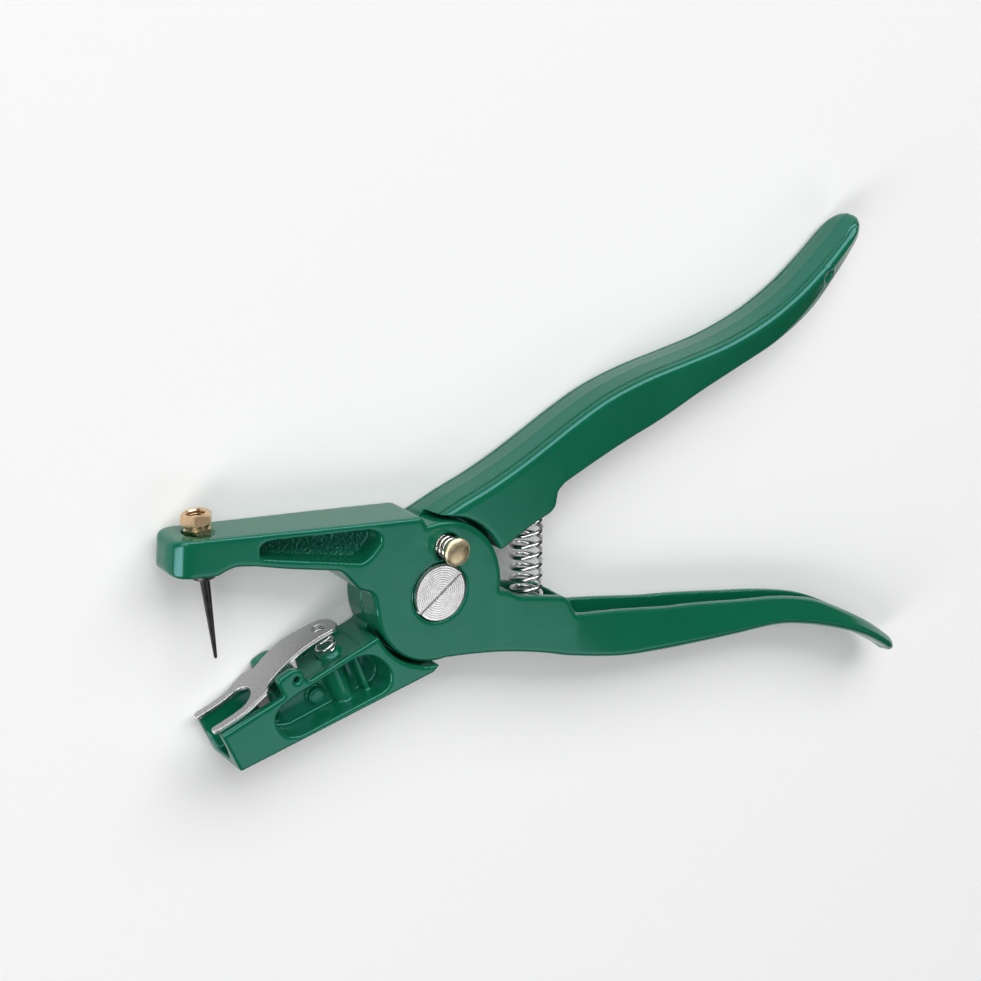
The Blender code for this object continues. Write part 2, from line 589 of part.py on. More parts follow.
    # pin hole through both ears
    x, y = along_jaw(PIN_U, PIN_V)
    place = frame((x, y, 0), (1, 0, 0), (0, 0, 1))
    return cut(lever, rod("pin_hole", PIN_R + FIT, -LIFT, THICK + LIFT, place, 16))


def tag_clip():
    """Pressed steel clip: a fork over the jaw walls, two cheeks on the pin and a thumb tongue."""
    rest = JAW_TOP + FIT
    span = PIN_U - CLIP_TAIL
    spine = [(JAW_LEN + CLIP_OVERHANG, rest), (JAW_LEN - 5.0, rest), (JAW_LEN - 9.5, rest + 0.45),
             (JAW_LEN - 13.2, rest + 1.6), (JAW_LEN - 15.8, rest + 2.3), (PIN_U + 5.6, rest + 3.1),
             (PIN_U + 0.9, rest + 4.8)]
    spine += [(CLIP_TAIL + span * share, rest + rise)
              for share, rise in ((0.73, 6.05), (0.47, 6.15), (0.21, 5.85), (0.06, 5.3), (0.0, 4.9))]
    spine = smooth_rows(spine, 2)
    top = []
    for i, (u, v) in enumerate(spine):
        a, b = spine[max(i - 1, 0)], spine[min(i + 1, len(spine) - 1)]
        run = Vector((b[0] - a[0], b[1] - a[1])).normalized()
        top.append((u + run.y * CLIP_T, v - run.x * CLIP_T))
    clip = plate("tag_clip", [along_jaw(u, v) for u, v in spine + top[::-1]], 0, THICK)
    # plan of the blank, seen along the jaw's up axis: u and distance from the middle
    w, shoulder, waist, t, s = (size / 2 for size in
                                (CLIP_W, CLIP_SHOULDER_W, CLIP_WAIST_W, CLIP_TONGUE_W, CLIP_SLOT_W))
    front = JAW_LEN + CLIP_OVERHANG + 1.0
    slot_end = front - 1.0 - CLIP_SLOT_LEN
    side = [(front, s + 0.8), (front - 1.3, s + 0.25), (front - 2.0, s)]
    side += [(slot_end + s - s * math.sin(a), s * math.cos(a)) for a in (0.0, 0.4, 0.8, 1.2)]
    rim = [(PIN_U - 3.4, waist), (slot_end - 4.4, waist), (slot_end - 3.7, waist + 0.2),
           (slot_end - 2.5, shoulder - 0.4), (slot_end - 1.8, shoulder), (slot_end + 3.5, w),
           (front - 2.2, w), (front - 1.35, w - 0.35), (front, w - 1.0)]
    tail = [(CLIP_SPRING_U, t), (CLIP_TAIL + span * 0.14, t * 0.94), (CLIP_TAIL + span * 0.04, t * 0.6),
            (CLIP_TAIL - 0.1, 0.0)]
    half_plan = tail[::-1] + rim + side + [(slot_end, 0.0)]
    plan = half_plan + [(u, -z) for u, z in half_plan[-2:0:-1]]
    level = frame((0, 0, MID), Vector(along_jaw(1, 0)).to_3d(), Vector(along_jaw(0, 1)).to_3d())
    flip = 1 if (level.to_3x3() @ Vector((0, 1, 0))).z > 0 else -1
    outline = [(u, z * flip) for u, z in plan][::flip]
    blank = plate("blank", outline, JAW_TOP - LIFT, JAW_TOP + 4 * LIFT, 0, level)
    clip = combine(clip, [blank], "INTERSECT")
    cheek = [(PIN_U + 4.6, rest + 3.9), (PIN_U + 4.4, rest + 2.6), (PIN_U + 2.6, PIN_V - 1.6),
             (PIN_U + 0.4, PIN_V - 2.2), (PIN_U - 1.6, PIN_V - 1.6), (PIN_U - 2.4, PIN_V),
             (PIN_U - 2.8, rest + 6.2)]
    cheek = [along_jaw(u, v) for u, v in cheek][::-1]
    outer = waist - CLIP_BEND
    inner = outer - CLIP_T
    clip = fuse(clip, plate("front_cheek", cheek, MID + inner, MID + outer),
                plate("back_cheek", cheek, MID - outer, MID - inner))
    x, y = along_jaw(PIN_U, PIN_V)
    pin_hole = rod("pin_hole", PIN_R + FIT, 0, THICK, frame((x, y, 0), (1, 0, 0), (0, 0, 1)), 16)
    x, y = along_jaw(CLIP_SPRING_U, 0)
    hole = rod("hole", CLIP_HOLE_R, 0, JAW_TOP + 4 * LIFT,
               frame((x, y, MID), (0, 0, 1), Vector(along_jaw(0, 1)).to_3d()), 16)
    return cut(clip, pin_hole, hole)


def build():
    for item in list(bpy.data.objects):
        bpy.data.objects.remove(item, do_unlink=True)
    bpy.context.scene.collection.children.link(bpy.data.collections.new("ear_tag_applicator"))

    pivot = (0, 0, 0)
    finish(tag_lever(), paint("green_paint_back", GREEN, 0.0, 0.28), pivot)
    finish(needle_lever(), paint("green_paint_front", GREEN, 0.0, 0.28), pivot)

    top = THICK + SCREW_PROUD
    screw = turned("pivot_screw", [
        (0, top), (SCREW_HEAD_R - 0.4, top), (SCREW_HEAD_R, top - 0.4), (SCREW_HEAD_R, THICK - SCREW_HEAD_H),
        (SCREW_SHANK_R, THICK - SCREW_HEAD_H), (SCREW_SHANK_R, 0.4), (SCREW_SHANK_R - 0.4, 0), (0, 0)],
        steps=48)
    turn = math.radians(SLOT_ANGLE)
    slot = plate("slot", [(-20, -SLOT_W / 2), (20, -SLOT_W / 2), (20, SLOT_W / 2), (-20, SLOT_W / 2)],
                 top - SLOT_D, top + LIFT, 0, Matrix.Rotation(turn, 4, "Z"))
    finish(cut(screw, slot), paint("machined_steel", (0.62, 0.62, 0.64, 1), 1.0, 0.35), pivot)

    hole = SCREW_SHANK_R + FIT
    nut = turned("pivot_nut", [(hole, NUT_H), (NUT_R, NUT_H), (NUT_R, 0.4), (NUT_R - 0.4, 0.0), (hole, 0.0),
                               (hole, NUT_H)], steps=40)
    wrench = plate("wrench", [(-20, -1.0), (20, -1.0), (20, 1.0), (-20, 1.0)], -LIFT, 1.2)
    finish(cut(nut, wrench), paint("plain_steel", (0.45, 0.45, 0.47, 1), 1.0, 0.4), pivot)

    # lock button, its ring and its spring
    x, y = polar(LOCK_R, LOCK_ANGLE)
    place = frame((x, y, 0), (1, 0, 0), (0, 0, 1))
    spot = (x, y, THICK)
    web_top = THICK - LOCK_POCKET_DEPTH
    web_low = web_top - LOCK_WEB
    head = THICK + LOCK_RISE
    end = web_low - FIT - LOCK_RING_H - 0.3
    groove = LOCK_SHANK_R - 0.5
    brass = (0.66, 0.47, 0.2, 1)
    dome = [(LOCK_HEAD_R * math.sin(a), head + LOCK_HEAD_H * 0.45 + LOCK_HEAD_H * 0.55 * math.cos(a))
            for a in (0, 0.45, 0.9, 1.25, 1.571)]
    button = turned("lock_button", dome + [
        (LOCK_HEAD_R, head + 0.4), (LOCK_HEAD_R - 0.4, head), (LOCK_SHANK_R, head),
        (LOCK_SHANK_R, web_low - FIT), (groove, web_low - FIT), (groove, web_low - FIT - LOCK_RING_H),
        (LOCK_SHANK_R, web_low - FIT - LOCK_RING_H), (LOCK_SHANK_R, end + 0.3), (LOCK_SHANK_R - 0.3, end),
        (0, end)], place, 24)
    finish(button, paint("lock_brass", brass, 1.0, 0.25), spot)
    ring = turned("lock_ring", [
        (groove + 0.15, web_low - FIT * 1.3), (LOCK_WELL_R - FIT, web_low - FIT * 1.3),
        (LOCK_WELL_R - FIT, web_low - LOCK_RING_H), (groove + 0.15, web_low - LOCK_RING_H),
        (groove + 0.15, web_low - FIT * 1.3)], place, 24)
    finish(ring, paint("ring_steel", (0.35, 0.35, 0.37, 1), 1.0, 0.35), spot)
    spring = coil("lock_spring", LOCK_POCKET_R - 0.9, 0.8, 4.5, head - web_top - 2 * 0.15,
                  place @ Matrix.Translation((0, 0, (web_top + 0.15) * MM)))
    finish(spring, paint("lock_spring_steel", (0.7, 0.7, 0.72, 1), 1.0, 0.2), spot)

    # return spring between the grips
    low, high = SPRING_LOW + FIT / 2, SPRING_HIGH - FIT / 2
    spring = coil("return_spring", SPRING_R, SPRING_WIRE, SPRING_TURNS, high - low,
                  frame((SPRING_X, low, MID), (1, 0, 0), (0, 1, 0)), 10)
    finish(spring, paint("return_spring_steel", (0.75, 0.75, 0.77, 1), 1.0, 0.15), (SPRING_X, low, MID))

    # needle and its brass nut
    axis = needle_frame()
    drop = needle_drop()
    flange = -drop - FIT
    base = flange - NEEDLE_FLANGE_H
    tip = base - NEEDLE_LEN
    shelf = BRASS_FOOT_H - BRASS_FOOT_SUNK
    crest = shelf + BRASS_WAIST_H + BRASS_HEX_H
    shank_top = crest - 1.6
    needle = turned("needle", [
        (0, shank_top), (NEEDLE_SHANK_R - 0.4, shank_top), (NEEDLE_SHANK_R, shank_top - 0.4),
        (NEEDLE_SHANK_R, flange), (NEEDLE_FLANGE_R, flange), (NEEDLE_FLANGE_R, base + 0.5),
        (NEEDLE_FLANGE_R - 0.9, base), (NEEDLE_ROOT_R + 0.4, base), (NEEDLE_ROOT_R, base - 0.5),
        (NEEDLE_TIP_R, tip + 0.5), (NEEDLE_TIP_R * 0.6, tip + 0.1), (0, tip)], axis, 20)
    finish(needle, paint("black_steel", (0.02, 0.02, 0.022, 1), 0.6, 0.4), pivot)

    seat = -BRASS_FOOT_SUNK + FIT
    nut = fuse(hex_block("needle_nut", BRASS_HEX_R, crest - BRASS_HEX_H, crest, axis),
               hex_block("foot", BRASS_FOOT_R, seat, shelf, axis),
               rod("waist", BRASS_WAIST_R, shelf - 0.5, crest - BRASS_HEX_H + 0.5, axis, 24))
    nut = cut(nut, rod("nut_bore", NEEDLE_SHANK_R + FIT, -LIFT * 2, LIFT * 4, axis, 24))
    finish(nut, paint("nut_brass", (0.6, 0.4, 0.17, 1), 1.0, 0.3), pivot)

    # clip, its pin and its spring
    x, y = along_jaw(PIN_U, PIN_V)
    hinge = (x, y, MID)
    finish(tag_clip(), paint("clip_steel", (0.62, 0.62, 0.64, 1), 1.0, 0.25), hinge)
    low, high = PIN_SUNK, THICK - PIN_SUNK
    pin = turned("clip_pin", [
        (0, high), (PIN_R - 0.2, high), (PIN_R, high - 0.2), (PIN_R, low + 0.2), (PIN_R - 0.2, low),
        (0, low)], frame((x, y, 0), (1, 0, 0), (0, 0, 1)), 16)
    finish(pin, paint("pin_steel", (0.3, 0.3, 0.32, 1), 1.0, 0.4), hinge)
    deck = JAW_TOP - DECK_DROP + CLIP_SEAT_H + FIT / 2
    under = JAW_TOP + FIT + 5.75
    x, y = along_jaw(CLIP_SPRING_U, deck)
    spring = coil("clip_spring", CLIP_SPRING_R, CLIP_SPRING_WIRE, CLIP_SPRING_TURNS, under - deck,
                  frame((x, y, MID), (0, 0, 1), Vector(along_jaw(0, 1)).to_3d()))
    finish(spring, paint("clip_spring_steel", (0.7, 0.7, 0.72, 1), 1.0, 0.2), (x, y, MID))


build()
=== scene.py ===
# Ear tag applicator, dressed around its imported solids: enamelled castings, turned brass and steel,
# wire springs. Sizes are in millimetres until MM turns them into metres.
import math
from contextlib import contextmanager
from functools import partial
import bmesh
import bpy
from mathutils import Matrix, Vector, noise


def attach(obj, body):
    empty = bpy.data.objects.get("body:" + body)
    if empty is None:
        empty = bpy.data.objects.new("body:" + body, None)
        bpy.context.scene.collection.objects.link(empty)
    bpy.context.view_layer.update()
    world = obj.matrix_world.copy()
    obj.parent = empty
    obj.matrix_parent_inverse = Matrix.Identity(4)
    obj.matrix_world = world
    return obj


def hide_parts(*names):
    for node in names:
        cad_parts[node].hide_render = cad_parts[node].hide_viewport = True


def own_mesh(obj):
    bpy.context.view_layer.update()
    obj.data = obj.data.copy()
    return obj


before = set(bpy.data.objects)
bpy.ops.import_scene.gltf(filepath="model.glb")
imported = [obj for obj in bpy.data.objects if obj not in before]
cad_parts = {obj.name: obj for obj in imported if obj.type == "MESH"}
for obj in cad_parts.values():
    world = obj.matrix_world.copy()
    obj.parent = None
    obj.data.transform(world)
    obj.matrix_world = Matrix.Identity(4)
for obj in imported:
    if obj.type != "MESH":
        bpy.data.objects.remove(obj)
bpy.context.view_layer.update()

MM = 0.001

# sizes of the castings, as in the solids
THICK = 16.5
MID = THICK / 2
FULL = MID                  # half width of a casting
LAP_LOW = MID - 0.15
LAP_HIGH = MID + 0.15
DISC_R = 19.5               # half cheek
ARC_R = DISC_R + 1.3        # arc cut round it in the other casting
EDGE = 0.8                  # rounding of a casting's rim
WALL = 2.5
FIT = 0.3                   # gap between pieces that touch
LIFT = 4.0                  # how far a cutter stands past a face
ARM_SLOPE = 5.0
ARM_LEN = 77.2
ARM_TOP = 21.3
ARM_TIP_DEPTH = 10.0
ARM_NECK_DEPTH = 8.0
ARM_ROOT_DEPTH = 12.2
ARM_TIP_THIN = 2.2
ARM_TIP_ROUND = 5.5
ARM_POCKET_DEPTH = 6.8
JAW_SLOPE = 20.0
JAW_LEN = 69.8
JAW_TOP = -1.7
JAW_FRONT_DEPTH = 12.2
JAW_BACK_DEPTH = 18.9
JAW_FLOOR = 2.3
JAW_MOUTH_LEN = 18.0
JAW_WINDOW_DEPTH = 8.0
JAW_BACK_WINDOW_DEPTH = 5.5
DECK_DROP = 0.8
EAR_RISE = 5.6
EAR_LEN = 7.3
EAR_WALL = 2.65
SHOULDER = 2.2
GRIP_FLOOR = 3.2
GRIP_RIDGE = 0.45
GROOVE = 0.35
SCREW_HEAD_R = 8.0
SCREW_HEAD_H = 3.2
SCREW_SHANK_R = 4.5
SCREW_PROUD = 0.3
NUT_R = 7.0
NUT_H = 3.0
LOCK_R = 12.5
LOCK_ANGLE = 79.0
LOCK_POCKET_R = 3.7
LOCK_POCKET_DEPTH = 3.8
LOCK_WEB = 1.2
LOCK_WELL_R = 3.6
LOCK_SHANK_R = 1.8
LOCK_DEPTH = 4.0
WEB_TOP = THICK - LOCK_POCKET_DEPTH
WEB_LOW = WEB_TOP - LOCK_WEB
CLOSED = 22.0
SPRING_X = 33.0
SPRING_LOW = -12.4
SPRING_HIGH = 17.2
SEAT_HALF = 5.4
SEAT_PEG_R = 2.6
SEAT_PEG_H = 2.4
NEEDLE_U = ARM_LEN - 9.8
NEEDLE_LEAN = 10.4
NEEDLE_SHANK_R = 2.0
NEEDLE_FLANGE_R = 3.3
BRASS_FOOT_R = 3.85
BRASS_FOOT_SUNK = 1.3
CLIP_SEAT_R = 3.4
CLIP_SEAT_H = 1.2
CLIP_TAIL = DISC_R + 8.1
PIN_U = JAW_LEN - 24.0
PIN_V = 0.5
PIN_R = 0.8
PIN_SUNK = 1.4
CLIP_SPAN = PIN_U - CLIP_TAIL
CLIP_SPRING_U = CLIP_TAIL + CLIP_SPAN * 0.272
PIN_HOLE_GAP = 0.05         # round the pin where it shows in the ear

# grips: outer x and y, inner x and y, half width outside and at the inner rims as a share of FULL
LOWER_GRIP = [
    (2.0, -19.4, 8.0, -4.0, 1, 1),
    (10.8, -20.4, 17.0, -9.0, 1, 1),
    (21.0, -22.1, 26.0, -12.0, 1, 1),
    (33.0, -25.1, 35.5, -14.5, 1, 1),
    (43.5, -28.4, 45.5, -16.3, 1, 1),
    (59.9, -32.3, 61.0, -18.6, 1, 0.9),
    (74.0, -34.2, 76.0, -21.2, 1, 0.85),
    (88.0, -35.0, 90.0, -23.1, 1, 0.8),
    (104.0, -35.6, 106.0, -25.7, 1, 0.74),
    (120.0, -36.2, 122.0, -28.3, 0.98, 0.62),
    (133.5, -39.2, 136.5, -32.2, 0.96, 0.55),
    (147.0, -43.8, 149.7, -38.6, 0.93, 0.52),
    (157.3, -48.4, 160.1, -44.6, 0.9, 0.53),
    (166.4, -53.9, 168.5, -50.7, 0.78, 0.49),
    (169.4, -56.3, 171.5, -53.3, 0.64, 0.41),
    (171.2, -57.3, 172.7, -55.2, 0.43, 0.3),
    (172.1, -57.4, 172.9, -56.3, 0.24, 0.16),
]
UPPER_GRIP = [
    (-1.2, 19.9, 4.0, 8.0, 1, 1),
    (7.5, 23.5, 12.0, 9.5, 1, 1),
    (16.6, 26.8, 20.0, 12.0, 1, 1),
    (26.0, 30.9, 28.5, 16.5, 1, 1),
    (34.5, 35.2, 38.0, 21.9, 1, 1),
    (45.0, 40.7, 49.0, 26.6, 1, 0.97),
    (56.0, 45.6, 61.0, 31.1, 1, 0.9),
    (69.0, 49.3, 74.0, 35.6, 1, 0.87),
    (82.0, 51.8, 87.0, 41.0, 1, 0.84),
    (97.0, 55.0, 101.5, 46.4, 1, 0.79),
    (111.5, 60.2, 115.8, 51.8, 0.98, 0.72),
    (123.5, 66.8, 128.4, 59.2, 0.97, 0.65),
    (132.8, 73.8, 138.0, 68.6, 0.95, 0.6),
    (140.2, 80.4, 145.0, 77.0, 0.9, 0.56),
    (143.0, 83.3, 147.3, 80.4, 0.74, 0.46),
    (144.9, 84.8, 148.0, 82.6, 0.5, 0.34),
    (146.2, 85.1, 147.9, 84.0, 0.28, 0.2),
]
# the outer shoulders' rounding
LOWER_SHOULDERS = [EDGE] * 5 + [EDGE * 1.5] + [SHOULDER] * (len(LOWER_GRIP) - 6)
UPPER_SHOULDERS = [SHOULDER] * len(UPPER_GRIP)

CASTING_GRAIN = 0.36        # mesh size of a finished casting
CASTING_SOFTENING = 10      # passes that round its edges
CASTING_KEPT = 0.5          # share of its faces that is kept
CHEEK_STEPS = 160           # round a half cheek and its arc
WELD = 0.000005             # points nearer than this, in metres, become one


def along_arm(u, v, slope=math.radians(ARM_SLOPE)):
    """The place at a distance u out from the pivot along the arm, and v above it."""
    return (-u * math.cos(slope) + v * math.sin(slope), u * math.sin(slope) + v * math.cos(slope))


def along_jaw(u, v):
    return along_arm(u, v, math.radians(-JAW_SLOPE))


def polar(radius, angle):
    return (radius * math.cos(math.radians(angle)), radius * math.sin(math.radians(angle)))


def stand(origin, x_axis=(1, 0, 0), z_axis=(0, 0, 1)):
    """Matrix of a frame at an origin in mm, for meshes already in metres."""
    z = Vector(z_axis).normalized()
    x = (Vector(x_axis) - z * Vector(x_axis).dot(z)).normalized()
    place = Matrix((x, z.cross(x), z)).transposed().to_4x4()
    place.translation = Vector(origin) * MM
    return place


def on_jaw(u, v, z, x_axis=(1, 0, 0), z_axis=(0, 0, 1)):
    """A frame at a place of the jaw."""
    return stand((*along_jaw(u, v), z), x_axis, z_axis)


JAW_UP = Vector(along_jaw(0, 1)).to_3d()
JAW_BACK = Vector(along_jaw(-1, 0)).to_3d()     # from the jaw's mouth towards the pivot


def pin_stand():
    return on_jaw(PIN_U, PIN_V, 0)


def needle_stand():
    """Frame with its Z along the needle, away from the tip, from where it leaves the arm's top."""
    tilt = math.radians(90 - ARM_SLOPE + NEEDLE_LEAN)
    return stand((*along_arm(NEEDLE_U, ARM_TOP), MID), (0, 0, 1), (math.cos(tilt), math.sin(tilt), 0))


def needle_drop():
    """Length along the needle from the arm's top to its flange."""
    return (ARM_TIP_DEPTH - 0.4) / math.cos(math.radians(NEEDLE_LEAN))


def lock_stand(turn=0.0, z=0.0):
    return stand((*polar(LOCK_R, LOCK_ANGLE + turn), z))


def in_scene(name, data):
    thing = bpy.data.objects.new(name, data)
    bpy.context.scene.collection.objects.link(thing)
    return thing


def add_piece(name, bm):
    mesh = bpy.data.meshes.new(name)
    bm.to_mesh(mesh)
    bm.free()
    return in_scene(name, mesh)


@contextmanager
def reworked(piece):
    """The piece's mesh as a bmesh, written back at the end."""
    bm = bmesh.new()
    bm.from_mesh(piece.data)
    yield bm
    bm.to_mesh(piece.data)
    bm.free()


def settle(piece, weld=WELD):
    """Apply the object's modifiers and place, or turn a curve into a welded mesh."""
    bpy.context.view_layer.update()
    evaluated = piece.evaluated_get(bpy.context.evaluated_depsgraph_get())
    mesh = bpy.data.meshes.new_from_object(evaluated)
    bm = bmesh.new()
    bm.from_mesh(mesh)
    bpy.data.meshes.remove(mesh)
    bmesh.ops.remove_doubles(bm, verts=bm.verts, dist=weld)
    bmesh.ops.transform(bm, matrix=piece.matrix_world, verts=bm.verts)
    name = piece.name
    piece.name = name + "_raw"
    bpy.data.objects.remove(piece)
    return add_piece(name, bm)


def plate(name, points, low, high, edge=0.0, place=None, steps=3, hole=None):
    """A flat outline in mm, extruded between two heights, with rounded rims where edge is given."""
    curve = bpy.data.curves.new(name, "CURVE")
    curve.dimensions = "2D"
    curve.fill_mode = "BOTH"
    curve.extrude = ((high - low) / 2 - edge) * MM
    curve.bevel_depth = edge * MM
    curve.bevel_resolution = steps
    curve.offset = -edge * MM
    for ring in (points, hole) if hole else (points,):
        spline = curve.splines.new("POLY")
        spline.points.add(len(ring) - 1)
        for point, (x, y) in zip(spline.points, ring):
            point.co = (x * MM, y * MM, 0.0, 1.0)
        spline.use_cyclic_u = True
    piece = in_scene(name, curve)
    shift = Matrix.Translation((0, 0, (low + high) / 2 * MM))
    piece.matrix_world = (place @ shift) if place else shift
    return settle(piece)


def turned(name, profile, place=None, steps=96):
    """A turned piece: radius and height pairs in mm, from the top down its outer side."""
    bm = bmesh.new()
    verts = [bm.verts.new((r * MM, 0.0, z * MM)) for r, z in profile]
    for a, b in zip(verts, verts[1:]):
        bm.edges.new((a, b))
    piece = add_piece(name, bm)
    screw = piece.modifiers.new("turn", "SCREW")
    screw.steps = steps
    screw.render_steps = steps
    screw.use_merge_vertices = True
    screw.merge_threshold = WELD
    if place:
        piece.matrix_world = place
    return settle(piece)


def rod(name, radius, low, high, place=None, steps=96):
    return turned(name, [(0, high), (radius, high), (radius, low), (0, low)], place, steps)


def loft(name, rings):
    """Skin over rings of equal length, closed at both ends; points in mm."""
    bm = bmesh.new()
    loops = [[bm.verts.new(Vector(p) * MM) for p in ring] for ring in rings]
    for a, b in zip(loops, loops[1:]):
        for i in range(len(a)):
            j = (i + 1) % len(a)
            bm.faces.new((a[i], a[j], b[j], b[i]))
    bm.faces.new(loops[0][::-1])
    bm.faces.new(loops[-1])
    bmesh.ops.recalc_face_normals(bm, faces=bm.faces)
    return add_piece(name, bm)


def sliced(bm, places, along):
    """Points added to a mesh where planes across a direction cut it, so that it can bend there."""
    for place in places:
        bmesh.ops.bisect_plane(bm, geom=bm.verts[:] + bm.edges[:] + bm.faces[:],
                               plane_co=along * place * MM, plane_no=along, dist=1e-7)


def combine(piece, tools, operation):
    for tool in tools:
        change = piece.modifiers.new(operation.lower(), "BOOLEAN")
        change.operation = operation
        change.solver = "EXACT"
        change.object = tool
        piece = settle(piece)
        bpy.data.objects.remove(tool)
    return piece


def fuse(piece, *tools):
    return combine(piece, tools, "UNION")


def cut(piece, *tools):
    return combine(piece, tools, "DIFFERENCE")


def smooth_rows(rows, parts):
    """Rows of numbers, with rounded steps added between them."""
    out = []
    for i, (a, b) in enumerate(zip(rows, rows[1:])):
        before, after = rows[max(i - 1, 0)], rows[min(i + 2, len(rows) - 1)]
        for k in range(parts):
            t = k / parts
            out.append(tuple(0.5 * (2 * q + (r - p) * t + (2 * p - 5 * q + 4 * r - s) * t * t
                                    + (3 * q - p - 3 * r + s) * t ** 3)
                             for p, q, r, s in zip(before, a, b, after)))
    out.append(rows[-1])
    return out


def between(row, other, share):
    return tuple(a + (b - a) * share for a, b in zip(row, other))


def grip_rows(table, shoulders):
    return [(*row[:4], FULL * row[4], FULL * row[5], shoulder) for row, shoulder in zip(table, shoulders)]


def grip_section(row):
    """Depth of a grip at a row, and how a depth and a height there become a point."""
    inner, reach = Vector(row[2:4]), Vector(row[:2]) - Vector(row[2:4])
    depth = reach.length
    across = reach / depth
    return depth, lambda t, z: (inner.x + across.x * t, inner.y + across.y * t, MID + z)


def grip(name, rows, groove=0.0):
    """A grip lofted along its rows: flat sides that lean in to the inner rims, rounded outer shoulders
    with a groove below them if one is given, and a low ridge round mid thickness."""
    rings = []
    for row in rows:
        depth, point = grip_section(row)
        wide, narrow, shoulder = min(row[4], FULL), min(row[5], FULL), row[6]
        rim = min(0.6, narrow * 0.2)
        r = min(shoulder, depth * 0.48, wide * 0.6)
        side = [(0, 0), (0, narrow - rim)]
        for k in range(9):
            t = rim + (depth - r - rim) * k / 8
            side.append((t, narrow + (wide - narrow) * t / (depth - r)))
        side += [(depth - r + r * math.sin(a), wide - r + r * math.cos(a))
                 for a in (0.2, 0.4, 0.6, 0.8, 1.0, 1.2, 1.4, 1.571)]
        edge = wide - r
        press = groove * min(max(wide / FULL - 0.8, 0) / 0.1, 1)
        side += [(depth - press * 0.15, edge * 0.975), (depth - press, edge * 0.945),
                 (depth - press, edge * 0.925), (depth + GRIP_RIDGE * 0.14, edge * 0.86),
                 (depth + GRIP_RIDGE * 0.57, edge * 0.43)]
        ring = side + [(depth + GRIP_RIDGE, 0)] + [(t, -z) for t, z in reversed(side[1:])]
        rings.append([point(t, z) for t, z in ring])
    return loft(name, rings)


def grip_hollow(rows, start, first=4, last=10):
    """Cutter for the hollow side of a grip: it starts a share of a step past the first row, and its
    floor rises to the inner edge past the last one."""
    inside = [between(rows[first], rows[first + 1], start)] + rows[first + 1:last + 1]
    inside = [row[:4] + (row[5] - WALL, GRIP_FLOOR) for row in inside]
    end = between(rows[last], rows[last + 1], 0.6)
    inside.append(end[:4] + (end[5] - WALL * 1.2, GRIP_FLOOR * 1.7))
    rings = []
    for row in smooth_rows(inside, 5):
        depth, point = grip_section(row)
        half, floor = row[4:]
        top = max(depth - floor, 0.8)
        corner = min(1.2, half * 0.5, top * 0.5)
        section = [(-LIFT, half)]
        section += [(top - corner + corner * math.sin(a), half - corner + corner * math.cos(a))
                    for a in (0, 0.4, 0.8, 1.2, 1.571)]
        section += [(t, -z) for t, z in reversed(section)]
        rings.append([point(t, z) for t, z in section])
    return loft("hollow", rings)


def rounded(points, radius, steps=4):
    """The outline with its corners rounded."""
    out = []
    for i, p in enumerate(points):
        p = Vector(p)
        a, b = Vector(points[i - 1]) - p, Vector(points[(i + 1) % len(points)]) - p
        reach = min(radius, a.length * 0.45, b.length * 0.45)
        start, end = p + a.normalized() * reach, p + b.normalized() * reach
        for k in range(steps + 1):
            t = k / steps
            out.append(tuple(start * (1 - t) ** 2 + p * 2 * t * (1 - t) + end * t * t))
    return out


def spring_well(left, right, low, high):
    """Cutter for the well round the return spring."""
    return plate("spring_well", [(left, low), (right, low), (right, high), (left, high)],
                 MID - SEAT_HALF, MID + SEAT_HALF)


def spring_peg(height, up):
    return rod("peg", SEAT_PEG_R, -0.5, SEAT_PEG_H, stand((SPRING_X, height, MID), (1, 0, 0), (0, up, 0)), 40)


